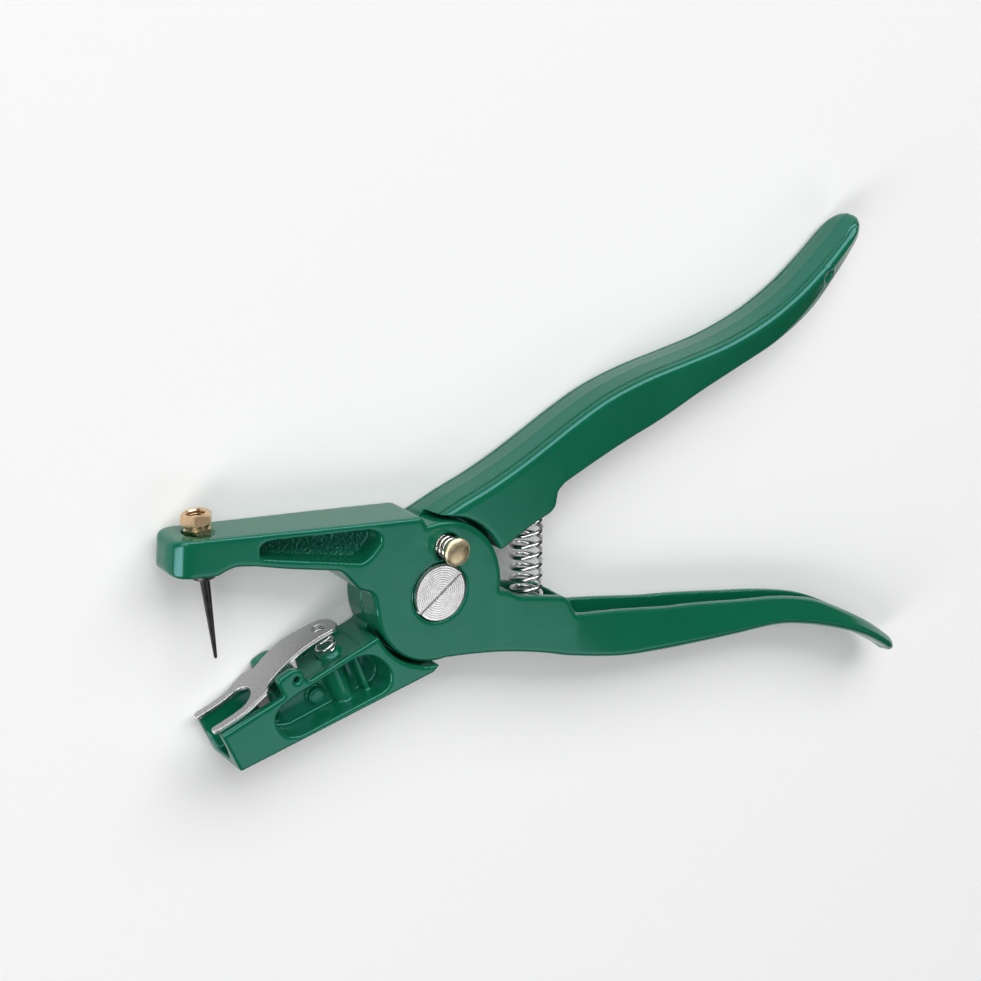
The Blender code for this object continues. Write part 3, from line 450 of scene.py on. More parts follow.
def front_casting():
    """Needle arm, front half cheek and lower grip."""
    neck = ARM_TOP - ARM_NECK_DEPTH
    root = ARM_TOP - ARM_ROOT_DEPTH
    chin = ARM_TOP - ARM_TIP_DEPTH
    r = ARM_TIP_ROUND
    heel = ARC_R + 9.7
    # the tip's rounding: how far along its radius, drop from the top, rise from the chin
    nose = [(0.45, 0.1, 0.05), (0.75, 0.4, 0.35), (0.94, 1.1, 1.3), (1.0, 2.2, 2.8)]
    outline = [(DISC_R * 0.34, ARM_TOP), (ARM_LEN - r, ARM_TOP)]
    outline += [(ARM_LEN - r * (1 - share), ARM_TOP - drop) for share, drop, rise in nose]
    outline += [(ARM_LEN - r * (1 - share), chin + rise) for share, drop, rise in nose[::-1]]
    outline += [
        (NEEDLE_U - 2.6, chin), (NEEDLE_U - 4.6, neck - 0.9), (NEEDLE_U - 7.2, neck),
        (NEEDLE_U - 12.4, neck - 0.4), ((heel + NEEDLE_U - 6.8) / 2, (neck + root) / 2),
        (heel, root), (heel - 1.7, root - 1.4), (heel - 5.6, root - 5.6), (ARC_R - 0.2, root - 7.0),
        (ARC_R - 1.6, root - 12.3), (DISC_R * 0.4, root - 11.3), (DISC_R * 0.2, ARM_TOP - 6.0)]
    outline = rounded([along_arm(u, v) for u, v in outline], 1.2, 3)
    arm = plate("front_casting", outline, 0, THICK, EDGE)
    # the arm thins towards its tip, whose corners are rounded; it needs points along its length for that
    along = Vector(along_arm(1, 0)).to_3d()
    corner = [ARM_LEN - r + r * math.sin(math.radians(a)) for a in range(0, 86, 5)]
    start = ARC_R + 5.0
    with reworked(arm) as bm:
        sliced(bm, [25, 35, 45, 55, 65] + corner, along)
        for vert in bm.verts:
            u = vert.co.dot(along) / MM
            share = min(max((u - start) / (ARM_LEN - start), 0.0), 1.0)
            turn_in = min(max(u - (ARM_LEN - r), 0.0), r)
            half = MID - ARM_TIP_THIN / 2 * share - (r - math.sqrt(r * r - turn_in * turn_in))
            vert.co.z = MID * MM + (vert.co.z - MID * MM) * half / MID
    cheek = turned("cheek", [
        (0, THICK), (DISC_R - EDGE, THICK), (DISC_R - EDGE * 0.6, THICK - EDGE * 0.09),
        (DISC_R - EDGE * 0.29, THICK - EDGE * 0.29), (DISC_R - EDGE * 0.09, THICK - EDGE * 0.6),
        (DISC_R, THICK - EDGE), (DISC_R, LAP_HIGH), (0, LAP_HIGH)], steps=CHEEK_STEPS)
    rows = grip_rows(LOWER_GRIP, LOWER_SHOULDERS)
    lower = grip("lower_grip", smooth_rows(rows, 7))
    seat_wall = plate("seat_wall", rounded([
        (12.0, -2.5), (19.4, -3.6), (22.8, -4.8), (25.4, -6.6), (40.6, -9.9), (42.3, -11.4), (43.4, -14.2),
        (44.8, -15.9), (44.0, -21.0), (12.0, -17.0)], 1.0, 3), 0, THICK, EDGE * 0.6)
    lever = fuse(arm, cheek, lower, seat_wall)
    hollow = grip_hollow(rows, 0.06)
    well = spring_well(SPRING_X - SEAT_HALF - 2.6, SPRING_X + SEAT_HALF + 1.0, SPRING_LOW, 0.0)
    sweep = rod("sweep", ARC_R, -LIFT, LAP_HIGH, steps=CHEEK_STEPS)
    bore = rod("bore", SCREW_SHANK_R + FIT, -LIFT, THICK + LIFT)
    head_seat = rod("head_seat", SCREW_HEAD_R + FIT * 0.8, THICK - SCREW_HEAD_H - FIT, THICK + LIFT,
                    steps=128)
    lever = cut(lever, hollow, well, sweep, bore, head_seat)
    lever = fuse(lever, spring_peg(SPRING_LOW, 1))
    far, close = NEEDLE_U - 13.6, DISC_R - 0.5
    pocket = [(far - 0.2, -6.4), (far, -3.1), (far - 2.0, -2.0), (close + 3.4, -1.9), (close + 0.9, -2.9),
              (close, -5.6), (close + 3.2, -9.4), (close + 5.2, -10.6)]
    ring = rounded([along_arm(u, v + ARM_TOP) for u, v in pocket], 1.0, 3)
    lever = cut(lever, plate("front_pocket", ring, THICK - ARM_POCKET_DEPTH, THICK + LIFT, 0.5),
                plate("back_pocket", ring, -LIFT, ARM_POCKET_DEPTH - 1.0, 0.5))
    lever = cut(lever, rod("lock_pocket", LOCK_POCKET_R, WEB_TOP, THICK + LIFT, lock_stand(), 64),
                rod("lock_bore", LOCK_SHANK_R + FIT, 0, THICK, lock_stand(), 40),
                rod("lock_well", LOCK_WELL_R, 0, WEB_LOW, lock_stand(), 64))
    axis = needle_stand()
    drop = needle_drop()
    return cut(lever, rod("needle_bore", NEEDLE_SHANK_R + FIT, -drop - LIFT, LIFT, axis, 40),
               rod("foot_seat", BRASS_FOOT_R + FIT, -BRASS_FOOT_SUNK, LIFT * 2, axis, 64),
               rod("flange_seat", NEEDLE_FLANGE_R + FIT * 1.5, -drop - LIFT, -drop, axis, 64))


def back_casting():
    """Tag jaw, back half cheek and upper grip."""
    front_low = JAW_TOP - JAW_FRONT_DEPTH
    back_low = JAW_TOP - JAW_BACK_DEPTH
    heel = DISC_R * 0.49
    outline = [
        (heel, JAW_TOP), (JAW_LEN, JAW_TOP), (JAW_LEN - 0.8, front_low), (heel, back_low),
        (heel - 3.6, back_low + 1.5), (heel - 5.6, back_low + 6.0)]
    jaw = plate("back_casting", [along_jaw(u, v) for u, v in outline[::-1]], 0, THICK, EDGE * 0.5)
    ear_end = PIN_U - 2.2
    ear_top = JAW_TOP + EAR_RISE
    ear = [(ear_end - 3.0, JAW_TOP - 2.0), (ear_end - 1.4, JAW_TOP - 0.2), (ear_end - 0.2, JAW_TOP + 0.8),
           (ear_end, JAW_TOP + 3.8), (ear_end + 0.9, ear_top - 0.7), (ear_end + 2.6, ear_top),
           (ear_end + EAR_LEN - 1.0, ear_top - 0.2), (ear_end + EAR_LEN, ear_top - 0.9),
           (ear_end + EAR_LEN - 0.3, JAW_TOP - 2.0)]
    ears = plate("ears", [along_jaw(u, v) for u, v in ear[::-1]], 0, THICK, EDGE * 0.5)
    cheek = turned("cheek", [
        (0, LAP_LOW), (DISC_R, LAP_LOW), (DISC_R, EDGE), (DISC_R - EDGE * 0.29, EDGE * 0.29),
        (DISC_R - EDGE, 0), (0, 0)], steps=CHEEK_STEPS)
    rows = grip_rows(UPPER_GRIP, UPPER_SHOULDERS)
    upper = grip("upper_grip", smooth_rows(rows, 7), GROOVE)
    seat_wall = plate("seat_wall", rounded([
        (12.0, 12.0), (16.0, 7.5), (19.9, 8.0), (29.5, 13.1), (35.8, 15.5), (37.4, 17.0), (38.2, 21.4),
        (40.6, 23.4), (40.0, 30.0), (14.0, 22.0)], 1.0, 3), 0, THICK, EDGE * 0.6)
    lever = fuse(jaw, ears, cheek, upper, seat_wall)
    hollow = grip_hollow(rows, 0.3)
    well = spring_well(SPRING_X - SEAT_HALF - 1.0, SPRING_X + SEAT_HALF + 0.6, 0.0, SPRING_HIGH)
    sweep = rod("sweep", ARC_R, LAP_LOW, THICK + LIFT, steps=CHEEK_STEPS)
    bore = rod("bore", SCREW_SHANK_R + FIT, -LIFT, THICK + LIFT)
    nut_seat = rod("nut_seat", NUT_R + FIT, -LIFT, NUT_H + FIT, steps=128)
    lock_hole = rod("lock_hole", LOCK_SHANK_R + FIT, LAP_LOW - LOCK_DEPTH, THICK, lock_stand(CLOSED), 40)
    lever = cut(lever, hollow, well, sweep, bore, nut_seat, lock_hole)
    lever = fuse(lever, spring_peg(SPRING_HIGH, -1))
    # open mouth of the jaw: parallel walls above, drawn in towards the floor; its Y points down
    half = THICK / 2 - WALL
    floor = front_low + JAW_FLOOR
    section = [(-half, LIFT * 3), (-half, JAW_TOP - 5.0), (-half + 2.4, floor), (half - 2.4, floor),
               (half, JAW_TOP - 5.0), (half, LIFT * 3)]
    mouth = plate("mouth", [(z, -v) for z, v in reversed(section)], 0, JAW_MOUTH_LEN + LIFT,
                  place=on_jaw(JAW_LEN + LIFT, 0, MID, (0, 0, 1), JAW_BACK))
    # slot between the ears and over the deck that carries the clip spring
    deck = JAW_TOP - DECK_DROP
    half = THICK / 2 - EAR_WALL
    slot = [(-half, deck), (half, deck), (half, LIFT * 3), (-half, LIFT * 3)]
    deck_slot = plate("deck_slot", slot, 0, ear_end + EAR_LEN + 3.8 - CLIP_TAIL + 2.4,
                      place=on_jaw(CLIP_TAIL - 2.4, 0, MID, (0, 0, 1), -JAW_BACK))
    # windows in both faces, with a web between them
    close, far = ARC_R + 0.4, JAW_LEN - 14.4
    low = back_low + 3.6
    sill = [(close + 1.0, low + 1.2), (close, low + 4.4), (close + 0.4, low + 6.8),
            (close + 2.0, low + 10.2), (close + 3.8, low + 12.0), (close + 7.3, JAW_TOP - 1.8),
            (far - 7.9, JAW_TOP - 1.7), (far - 2.8, JAW_TOP - 2.2), (far - 0.5, JAW_TOP - 3.9),
            (far, JAW_TOP - 6.5), (far - 1.0, low + 4.8), (far - 4.8, low + 2.5),
            ((close + far) / 2, low + 1.4), (close + 3.4, low)]
    window = rounded([along_jaw(u, v) for u, v in sill], 1.4, 4)
    back = rounded([along_jaw(u - 1.2 if u > far - 5 else u, v) for u, v in sill], 1.4, 4)
    lever = cut(lever, mouth, deck_slot)
    # boss under the clip spring
    lever = fuse(lever, rod("clip_seat", CLIP_SEAT_R, deck - 0.2, deck + CLIP_SEAT_H,
                            on_jaw(CLIP_SPRING_U, 0, MID, (0, 0, 1), JAW_UP), 50))
    lever = cut(lever, plate("front_window", window, THICK - JAW_WINDOW_DEPTH, THICK + LIFT, 0.6),
                plate("back_window", back, -LIFT, JAW_BACK_WINDOW_DEPTH, 0.6))
    # post, boss and rib seen through the front window
    web = THICK - JAW_WINDOW_DEPTH
    post = rod("post", 2.9, back_low + 4.1, deck - 0.55,
               on_jaw(CLIP_SPRING_U + 1.0, 0, web + 0.6, (1, 0, 0), JAW_UP), 50)
    boss = rod("boss", 2.3, web - 1.0, web + 1.6, on_jaw(PIN_U - 5.4, JAW_TOP - 9.3, 0), 64)
    rib_u = ARC_R + 5.6
    rib = [(rib_u + 1.6, back_low + 3.5), (rib_u, back_low + 3.5), (rib_u, JAW_TOP - 1.3),
           (rib_u + 1.6, JAW_TOP - 1.3)]
    lever = fuse(lever, post, boss, plate("rib", [along_jaw(u, v) for u, v in rib], web - 1.0, web + 3.4))
    return cut(lever, rod("pin_hole", PIN_R + PIN_HOLE_GAP, -LIFT, THICK + LIFT, pin_stand(), 40))


def soften(piece, grain=CASTING_GRAIN, passes=CASTING_SOFTENING):
    """Even fine mesh with rounded edges and fillets, as a casting has under its paint."""
    remesh = piece.modifiers.new("grain", "REMESH")
    remesh.mode = "VOXEL"
    remesh.voxel_size = grain * MM
    remesh.adaptivity = 0.0
    smooth = piece.modifiers.new("soften", "SMOOTH")
    smooth.factor = 0.5
    smooth.iterations = passes
    return settle(piece, 0.0)


def thinned(piece, kept):
    """Fewer faces where the surface is flat."""
    fewer = piece.modifiers.new("thinned", "DECIMATE")
    fewer.ratio = kept
    return settle(piece, 0.0)


# finishes, some steels among them with painted shade and painted highlight in their colour

def fill(tree, node, inputs):
    """Set or link a node's inputs, by name."""
    for name, value in inputs.items():
        if isinstance(value, bpy.types.NodeSocket):
            tree.links.new(value, node.inputs[name])
        else:
            node.inputs[name].default_value = value


def add_node(tree, kind, inputs=None):
    node = tree.nodes.new(kind)
    fill(tree, node, inputs or {})
    return node.outputs


def new_material(name):
    material = bpy.data.materials.new(name)
    material.use_nodes = True
    tree = material.node_tree
    return material, tree, tree.nodes["Principled BSDF"]


def noise_field(tree, place, scale, detail=2.0):
    return add_node(tree, "ShaderNodeTexNoise", {"Vector": place, "Scale": scale, "Detail": detail})["Fac"]


def ramp(tree, value, stops):
    node = tree.nodes.new("ShaderNodeValToRGB")
    while len(node.color_ramp.elements) < len(stops):
        node.color_ramp.elements.new(0.5)
    for element, (position, colour) in zip(node.color_ramp.elements, stops):
        element.position = position
        element.color = colour
    tree.links.new(value, node.inputs["Fac"])
    return node.outputs["Color"]


def maths(tree, operation, *values):
    """A Math node on numbers and sockets."""
    node = tree.nodes.new("ShaderNodeMath")
    node.operation = operation
    for socket, value in zip(node.inputs, values):
        if isinstance(value, bpy.types.NodeSocket):
            tree.links.new(value, socket)
        else:
            socket.default_value = value
    return node.outputs[0]


def hump(tree, value, centre, width):
    """1 where a length is at the centre, falling to 0 within the width."""
    away = maths(tree, "ABSOLUTE", maths(tree, "SUBTRACT", value, centre * MM))
    return maths(tree, "MAXIMUM", maths(tree, "SUBTRACT", 1.0, maths(tree, "DIVIDE", away, width * MM)), 0.0)


def above(tree, value, level):
    return maths(tree, "GREATER_THAN", value, level * MM)


def grey(value):
    return (value, value, value, 1.0)


def bump(tree, height, depth, after=None):
    inputs = {"Strength": 1.0, "Distance": depth * MM, "Height": height}
    if after is not None:
        inputs["Normal"] = after
    return add_node(tree, "ShaderNodeBump", inputs)["Normal"]


GROOVE_OUT = (FULL - SHOULDER) * 0.935  # from mid thickness to the line pressed in below the shoulder
POCKET_FLOOR = THICK - ARM_POCKET_DEPTH
POCKET_LOW = 8.0                        # the arm's pocket lies higher than this, left of the cheek


def green_enamel(name, floor=None, line=None):
    """Gloss enamel over a casting; rough in the pocket whose floor is at a height, with a fine line
    pressed in at a distance from mid thickness, if they are given."""
    material, tree, shader = new_material(name)
    start = add_node(tree, "ShaderNodeTexCoord")
    place = start["Object"]
    colour = ramp(tree, noise_field(tree, place, 45.0),
                  [(0.3, (0.0028, 0.108, 0.053, 1)), (0.7, (0.0038, 0.120, 0.059, 1))])
    gloss = ramp(tree, noise_field(tree, place, 120.0), [(0.3, grey(0.15)), (0.7, grey(0.20))])
    normal = bump(tree, noise_field(tree, place, 190.0, 1.0), 0.02)
    x, y, z = add_node(tree, "ShaderNodeSeparateXYZ", {"Vector": place})
    times = partial(maths, tree, "MULTIPLY")
    if floor is not None:
        facing = add_node(tree, "ShaderNodeSeparateXYZ", {"Vector": start["Normal"]})["Z"]
        dents = noise_field(tree, place, 1150.0)
        for inside in (above(tree, y, POCKET_LOW), above(tree, times(x, -1.0), DISC_R),
                       maths(tree, "GREATER_THAN", hump(tree, z, floor, 1.0), 0.3),
                       maths(tree, "GREATER_THAN", facing, 0.6)):
            dents = times(dents, inside)
        normal = bump(tree, dents, 0.75, normal)
    if line is not None:
        out = maths(tree, "ABSOLUTE", maths(tree, "SUBTRACT", z, MID * MM))
        press = times(hump(tree, out, line, 0.45), above(tree, y, SPRING_HIGH))
        normal = bump(tree, times(press, -1.0), 0.22, normal)
    fill(tree, shader, {"Base Color": colour, "Roughness": gloss, "Normal": normal,
                        "IOR": 1.65, "Specular Tint": (0.45, 0.87, 1.0, 1.0)})
    return material


def metal(name, dark, light, rough, patch=300.0, depth=0.003, squeeze=(1.0, 1.0, 1.0), turn=0.0):
    """Bare metal between two colours, in patches; squeezed and turned, they are brush marks."""
    material, tree, shader = new_material(name)
    place = add_node(tree, "ShaderNodeMapping", {
        "Vector": add_node(tree, "ShaderNodeTexCoord")["Object"], "Scale": squeeze,
        "Rotation": (0.0, 0.0, turn)})["Vector"]
    colour = ramp(tree, noise_field(tree, place, patch, 4.0), [(0.3, dark), (0.7, light)])
    gloss = ramp(tree, noise_field(tree, place, patch * 2.2, 3.0),
                 [(0.3, grey(rough * 0.8)), (0.7, grey(rough * 1.2))])
    marks = bump(tree, noise_field(tree, place, patch * 6.0), depth)
    fill(tree, shader, {"Base Color": colour, "Roughness": gloss, "Normal": marks, "Metallic": 1.0})
    return material


ARM_ENAMEL = green_enamel("green_enamel_front", floor=POCKET_FLOOR)
JAW_ENAMEL = green_enamel("green_enamel_back", line=GROOVE_OUT)
TURNED_STEEL = metal("turned_steel", grey(0.90), grey(0.95), 0.23, 220.0, 0.0002)
CHROME_WIRE = metal("chrome_wire", grey(0.66), grey(0.80), 0.16)
YELLOW_BRASS = metal("yellow_brass", (0.64, 0.44, 0.26, 1), (0.74, 0.53, 0.33, 1), 0.28, 260.0, 0.001)
PALE_BRASS = metal("pale_brass", (0.84, 0.68, 0.41, 1), (0.92, 0.78, 0.53, 1), 0.38)
# steel with brush marks for the clip's top and underside: its dark tone is partly its own, partly painted
# shade in its reflection; it is also painted shade in the pivot screw's slot
SHADED_BRUSHED_STEEL = metal("brushed_steel_painted_shade", grey(0.37), grey(0.40), 0.26, 200.0, 0.0006, (1.0, 8.0, 8.0),
                      math.radians(JAW_SLOPE))
# pale steel on the clip's sheared rims and the faces of its cheeks, lighter partly as their own bright cut
# metal, partly as painted highlight
HIGHLIT_SIDE_STEEL = metal("side_steel_painted_highlight", grey(0.84), grey(0.92), 0.30, 400.0, 0.0005)
BLACK_STEEL = metal("blackened_steel", grey(0.045), grey(0.080), 0.36)
# near-black steel: the lock ring's dark steel, and painted shade on the clip pin's ends in their holes
DARK_STEEL_AND_SHADE = metal("dark_steel_and_painted_shade", grey(0.03), grey(0.06), 0.42)


# wire

def wire_tree():
    """Geometry Nodes for a coil of wire along +Z, with closed turns at both ends."""
    tree = bpy.data.node_groups.new("wire_coil", "GeometryNodeTree")
    sockets = dict.fromkeys(("Radius", "Wire", "Turns", "Length", "End Turns", "End Pitch"), "Float")
    sockets.update({"Points": "Int", "Sides": "Int", "Material": "Material"})
    for name, kind in sockets.items():
        tree.interface.new_socket(name=name, in_out="INPUT", socket_type="NodeSocket" + kind)
    tree.interface.new_socket(name="Geometry", in_out="OUTPUT", socket_type="NodeSocketGeometry")
    start = add_node(tree, "NodeGroupInput")
    times, less, plus, lower, higher = (
        partial(maths, tree, kind) for kind in ("MULTIPLY", "SUBTRACT", "ADD", "MINIMUM", "MAXIMUM"))
    turn = times(add_node(tree, "GeometryNodeSplineParameter")["Factor"], start["Turns"])
    angle = times(turn, math.tau)
    # height: slow over the closed turns at each end, even between them
    ends = start["End Turns"]
    slow = times(start["Wire"], start["End Pitch"])
    open_turns = less(start["Turns"], times(ends, 2.0))
    reach = less(start["Length"], start["Wire"])
    fast = maths(tree, "DIVIDE", less(reach, times(times(ends, slow), 2.0)), open_turns)
    first = times(lower(turn, ends), slow)
    middle = times(lower(higher(less(turn, ends), 0.0), open_turns), fast)
    last = times(higher(less(turn, plus(ends, open_turns)), 0.0), slow)
    half_wire = times(start["Wire"], 0.5)
    spot = add_node(tree, "ShaderNodeCombineXYZ", {
        "X": times(maths(tree, "COSINE", angle), start["Radius"]),
        "Y": times(maths(tree, "SINE", angle), start["Radius"]),
        "Z": plus(plus(first, middle), plus(last, half_wire))})["Vector"]
    line = add_node(tree, "GeometryNodeCurvePrimitiveLine")["Curve"]
    points = add_node(tree, "GeometryNodeResampleCurve", {"Curve": line, "Count": start["Points"]})["Curve"]
    coil = add_node(tree, "GeometryNodeSetPosition", {"Geometry": points, "Position": spot})["Geometry"]
    section = add_node(tree, "GeometryNodeCurvePrimitiveCircle", {
        "Resolution": start["Sides"], "Radius": half_wire})["Curve"]
    swept = add_node(tree, "GeometryNodeCurveToMesh", {
        "Curve": coil, "Profile Curve": section, "Fill Caps": True})["Mesh"]
    real = add_node(tree, "GeometryNodeRealizeInstances", {"Geometry": swept})["Geometry"]
    dressed = add_node(tree, "GeometryNodeSetMaterial", {
        "Geometry": real, "Material": start["Material"]})["Geometry"]
    add_node(tree, "NodeGroupOutput", {"Geometry": dressed})
    return tree


WIRE_TREE = wire_tree()


def wire_coil(name, radius, wire, turns, length, place, material,
              end_turns=0.75, end_pitch=1.15, points_per_turn=40, sides=14):
    carrier = in_scene(name, bpy.data.meshes.new(name))
    grow = carrier.modifiers.new("coil", "NODES")
    grow.node_group = WIRE_TREE
    values = {"Radius": radius * MM, "Wire": wire * MM, "Turns": turns, "Length": length * MM,
              "End Turns": end_turns, "End Pitch": end_pitch, "Points": int(turns * points_per_turn),
              "Sides": sides, "Material": material}
    for socket in WIRE_TREE.interface.items_tree:
        if socket.in_out == "INPUT":
            grow[socket.identifier] = values[socket.name]
    carrier.matrix_world = place
    piece = settle(carrier, 0.0)
    with reworked(piece) as bm:
        bmesh.ops.recalc_face_normals(bm, faces=bm.faces)
    return piece


# surface of the castings
WAVE, WAVE_DEPTH = 13.0, 0.02           # slow unevenness: its length and depth
PARTING_HALF, PARTING_RISE = 0.3, 0.07  # line round the outer edges where the mould parts
BROAD_DENT, BROAD_DEPTH = 0.9, 0.2      # hammered floor of the arm's pocket
FINE_DENT, FINE_DEPTH = 0.45, 0.08
SCAR = (133.3, 69.4, 15.3)              # dent in the upper grip's front face, towards its tail
SCAR_R, SCAR_DEPTH = 2.1, 0.7
SCAR_RIM_R, SCAR_RIM = 1.5, 0.1         # raised rim: its radius as a share of the dent's, its height


def on_pocket_floor(spot, normal):
    return (normal.z > 0.75 and abs(spot.z - POCKET_FLOOR) < 0.7
            and spot.x < -DISC_R and spot.y > POCKET_LOW)


def hammered(piece):
    """More points on the floor of the arm's front pocket, for its hammered surface."""
    with reworked(piece) as bm:
        edges = {edge for face in bm.faces if on_pocket_floor(face.calc_center_median() / MM, face.normal)
                 for edge in face.edges}
        bmesh.ops.subdivide_edges(bm, edges=list(edges), cuts=1, use_grid_fill=True)
        bmesh.ops.triangulate(bm, faces=[face for face in bm.faces if len(face.verts) > 4])
    return piece


def weathered(piece, parting):
    """Casting unevenness: slow waves, a parting line on the outer edges past a place along X, the
    hammered floor and the scar."""
    mesh = piece.data
    normals = [Vector(n.vector) for n in mesh.vertex_normals]
    scar = Vector(SCAR)
    for vert, normal in zip(mesh.vertices, normals):
        spot = vert.co / MM
        shift = -WAVE_DEPTH * (1.0 + noise.noise(spot / WAVE))
        if abs(normal.z) < 0.5 and spot.x > parting:
            shift += PARTING_RISE * math.exp(-((spot.z - MID) / PARTING_HALF) ** 2)
        if on_pocket_floor(spot, normal):
            shift += (BROAD_DEPTH * noise.noise(spot / BROAD_DENT)
                      + FINE_DEPTH * noise.noise(spot / FINE_DENT))
        away = (spot - scar).length / SCAR_R
        if away < 1.0:
            shift -= SCAR_DEPTH * (1.0 - away ** 4)
        elif away < SCAR_RIM_R:
            shift += SCAR_RIM * math.sin((away - 1.0) * math.tau)
        vert.co += normal * shift * MM
    return piece


# pieces

def keep_piece(piece, material, body, slot, *nodes, sharp=None):
    """Give a finished mesh its material, shading and body; the finish slot is not used."""
    piece.data.materials.clear()
    piece.data.materials.append(material)
    piece.data.shade_smooth()
    if sharp is not None:
        piece.data.set_sharp_from_angle(angle=math.radians(sharp))
    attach(piece, body)
    if nodes:
        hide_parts(*nodes)
    return piece


def second_material(piece, material, on_face):
    """Another material on the faces that a test picks."""
    piece.data.materials.append(material)
    for face in piece.data.polygons:
        if on_face(face):
            face.material_index = 1


def castings():
    front = thinned(weathered(hammered(soften(front_casting())), SPRING_X), CASTING_KEPT)
    keep_piece(front, ARM_ENAMEL, "needle_lever", "green_paint", "needle_lever")
    back = thinned(weathered(soften(back_casting()), 0.0), CASTING_KEPT)
    keep_piece(back, JAW_ENAMEL, "tag_lever", "green_paint", "tag_lever")


SCREW_TOP = THICK + SCREW_PROUD
SCREW_RINGS, RING_W, RING_DEPTH = 11, 0.32, 0.018       # fine grooves left by the turning tool
SLOT_W, SLOT_D, SLOT_ANGLE = 1.2, 1.3, 36.0
SLOT_REACH = 20.0
WRENCH_W, WRENCH_D = 2.0, 1.2


# faces inside the pivot screw's slot, which get darker steel as painted shade
def in_screw_slot(face):
    x, y, z = face.center / MM
    turn = math.radians(SLOT_ANGLE)
    return (abs(y * math.cos(turn) - x * math.sin(turn)) < SLOT_W / 2 + 0.01
            and SCREW_TOP - SLOT_D - 0.05 < z < SCREW_TOP - 0.1)


def slot_cutter(width, low, high, place=None):
    half = width / 2
    return plate("slot", [(-SLOT_REACH, -half), (SLOT_REACH, -half), (SLOT_REACH, half), (-SLOT_REACH, half)],
                 low, high, 0, place)


def pivot_screw_and_nut():
    rings = [(0.0, SCREW_TOP)]
    for k in range(SCREW_RINGS):
        r = 0.45 + k * (SCREW_HEAD_R - 1.0) / SCREW_RINGS
        rings += [(r, SCREW_TOP), (r + RING_W / 2, SCREW_TOP - RING_DEPTH), (r + RING_W, SCREW_TOP)]
    screw = turned("pivot_screw_turned", rings + [
        (SCREW_HEAD_R - 0.35, SCREW_TOP), (SCREW_HEAD_R - 0.1, SCREW_TOP - 0.1),
        (SCREW_HEAD_R, SCREW_TOP - 0.35), (SCREW_HEAD_R, THICK - SCREW_HEAD_H),
        (SCREW_SHANK_R, THICK - SCREW_HEAD_H), (SCREW_SHANK_R, 0.4), (SCREW_SHANK_R - 0.4, 0), (0, 0)],
        steps=128)
    screw = cut(screw, slot_cutter(SLOT_W, SCREW_TOP - SLOT_D, SCREW_TOP + LIFT,
                                   Matrix.Rotation(math.radians(SLOT_ANGLE), 4, "Z")))
    keep_piece(screw, TURNED_STEEL, "tag_lever", "bright_steel", "pivot_screw", sharp=30)
    # the slot's faces are painted darker, as the shade inside the slot
    second_material(screw, SHADED_BRUSHED_STEEL, in_screw_slot)
    bore = SCREW_SHANK_R + FIT
    nut = turned("pivot_nut_turned", [
        (bore, NUT_H), (NUT_R, NUT_H), (NUT_R, 0.5), (NUT_R - 0.15, 0.15), (NUT_R - 0.5, 0.0),
        (bore + 0.3, 0.0), (bore, 0.3), (bore, NUT_H)])
    keep_piece(cut(nut, slot_cutter(WRENCH_W, -LIFT, WRENCH_D)),
               TURNED_STEEL, "tag_lever", "bright_steel", "pivot_nut", sharp=30)


LOCK_HEAD_R, LOCK_HEAD_H, LOCK_RISE = 3.85, 2.0, 3.9
LOCK_RING_H = 0.8
LOCK_SPRING_R, LOCK_SPRING_WIRE, LOCK_SPRING_TURNS = LOCK_POCKET_R - 0.9, 0.8, 4.5


def lock_button_and_spring():
    head = THICK + LOCK_RISE
    neck, groove = WEB_LOW - FIT, LOCK_SHANK_R - 0.5
    end = neck - 1.1
    dome = [(LOCK_HEAD_R * math.sin(a), head + LOCK_HEAD_H * 0.45 + LOCK_HEAD_H * 0.55 * math.cos(a))
            for a in [k * math.pi / 36 for k in range(19)]]
    button = turned("lock_button_turned", dome + [
        (LOCK_HEAD_R, head + 0.4), (LOCK_HEAD_R - 0.12, head + 0.12), (LOCK_HEAD_R - 0.4, head),
        (LOCK_SHANK_R, head), (LOCK_SHANK_R, neck), (groove, neck), (groove, neck - LOCK_RING_H),
        (LOCK_SHANK_R, neck - LOCK_RING_H), (LOCK_SHANK_R, end + 0.3), (LOCK_SHANK_R - 0.3, end), (0, end)],
        lock_stand())
    keep_piece(button, PALE_BRASS, "lock_button", "brass", "lock_button", sharp=35)
    spring = wire_coil("lock_spring_wire", LOCK_SPRING_R, LOCK_SPRING_WIRE, LOCK_SPRING_TURNS,
                       head - WEB_TOP - 0.3, lock_stand(z=WEB_TOP + 0.15), CHROME_WIRE)
    keep_piece(spring, CHROME_WIRE, "needle_lever", "spring_steel", "lock_spring")
    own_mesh(spring)
    # the ring keeps its solid
    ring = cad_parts["lock_ring"].data
    ring.materials.clear()
    ring.materials.append(DARK_STEEL_AND_SHADE)


RETURN_SPRING_R, RETURN_SPRING_WIRE, RETURN_SPRING_TURNS = 4.2, 1.3, 9.5


def return_spring():
    low, high = SPRING_LOW + FIT / 2, SPRING_HIGH - FIT / 2
    spring = wire_coil("return_spring_wire", RETURN_SPRING_R, RETURN_SPRING_WIRE, RETURN_SPRING_TURNS,
                       high - low, stand((SPRING_X, low, MID), (1, 0, 0), (0, 1, 0)), CHROME_WIRE)
    keep_piece(spring, CHROME_WIRE, "tag_lever", "spring_steel", "return_spring")
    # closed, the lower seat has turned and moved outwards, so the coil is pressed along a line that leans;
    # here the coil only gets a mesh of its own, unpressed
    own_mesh(spring)


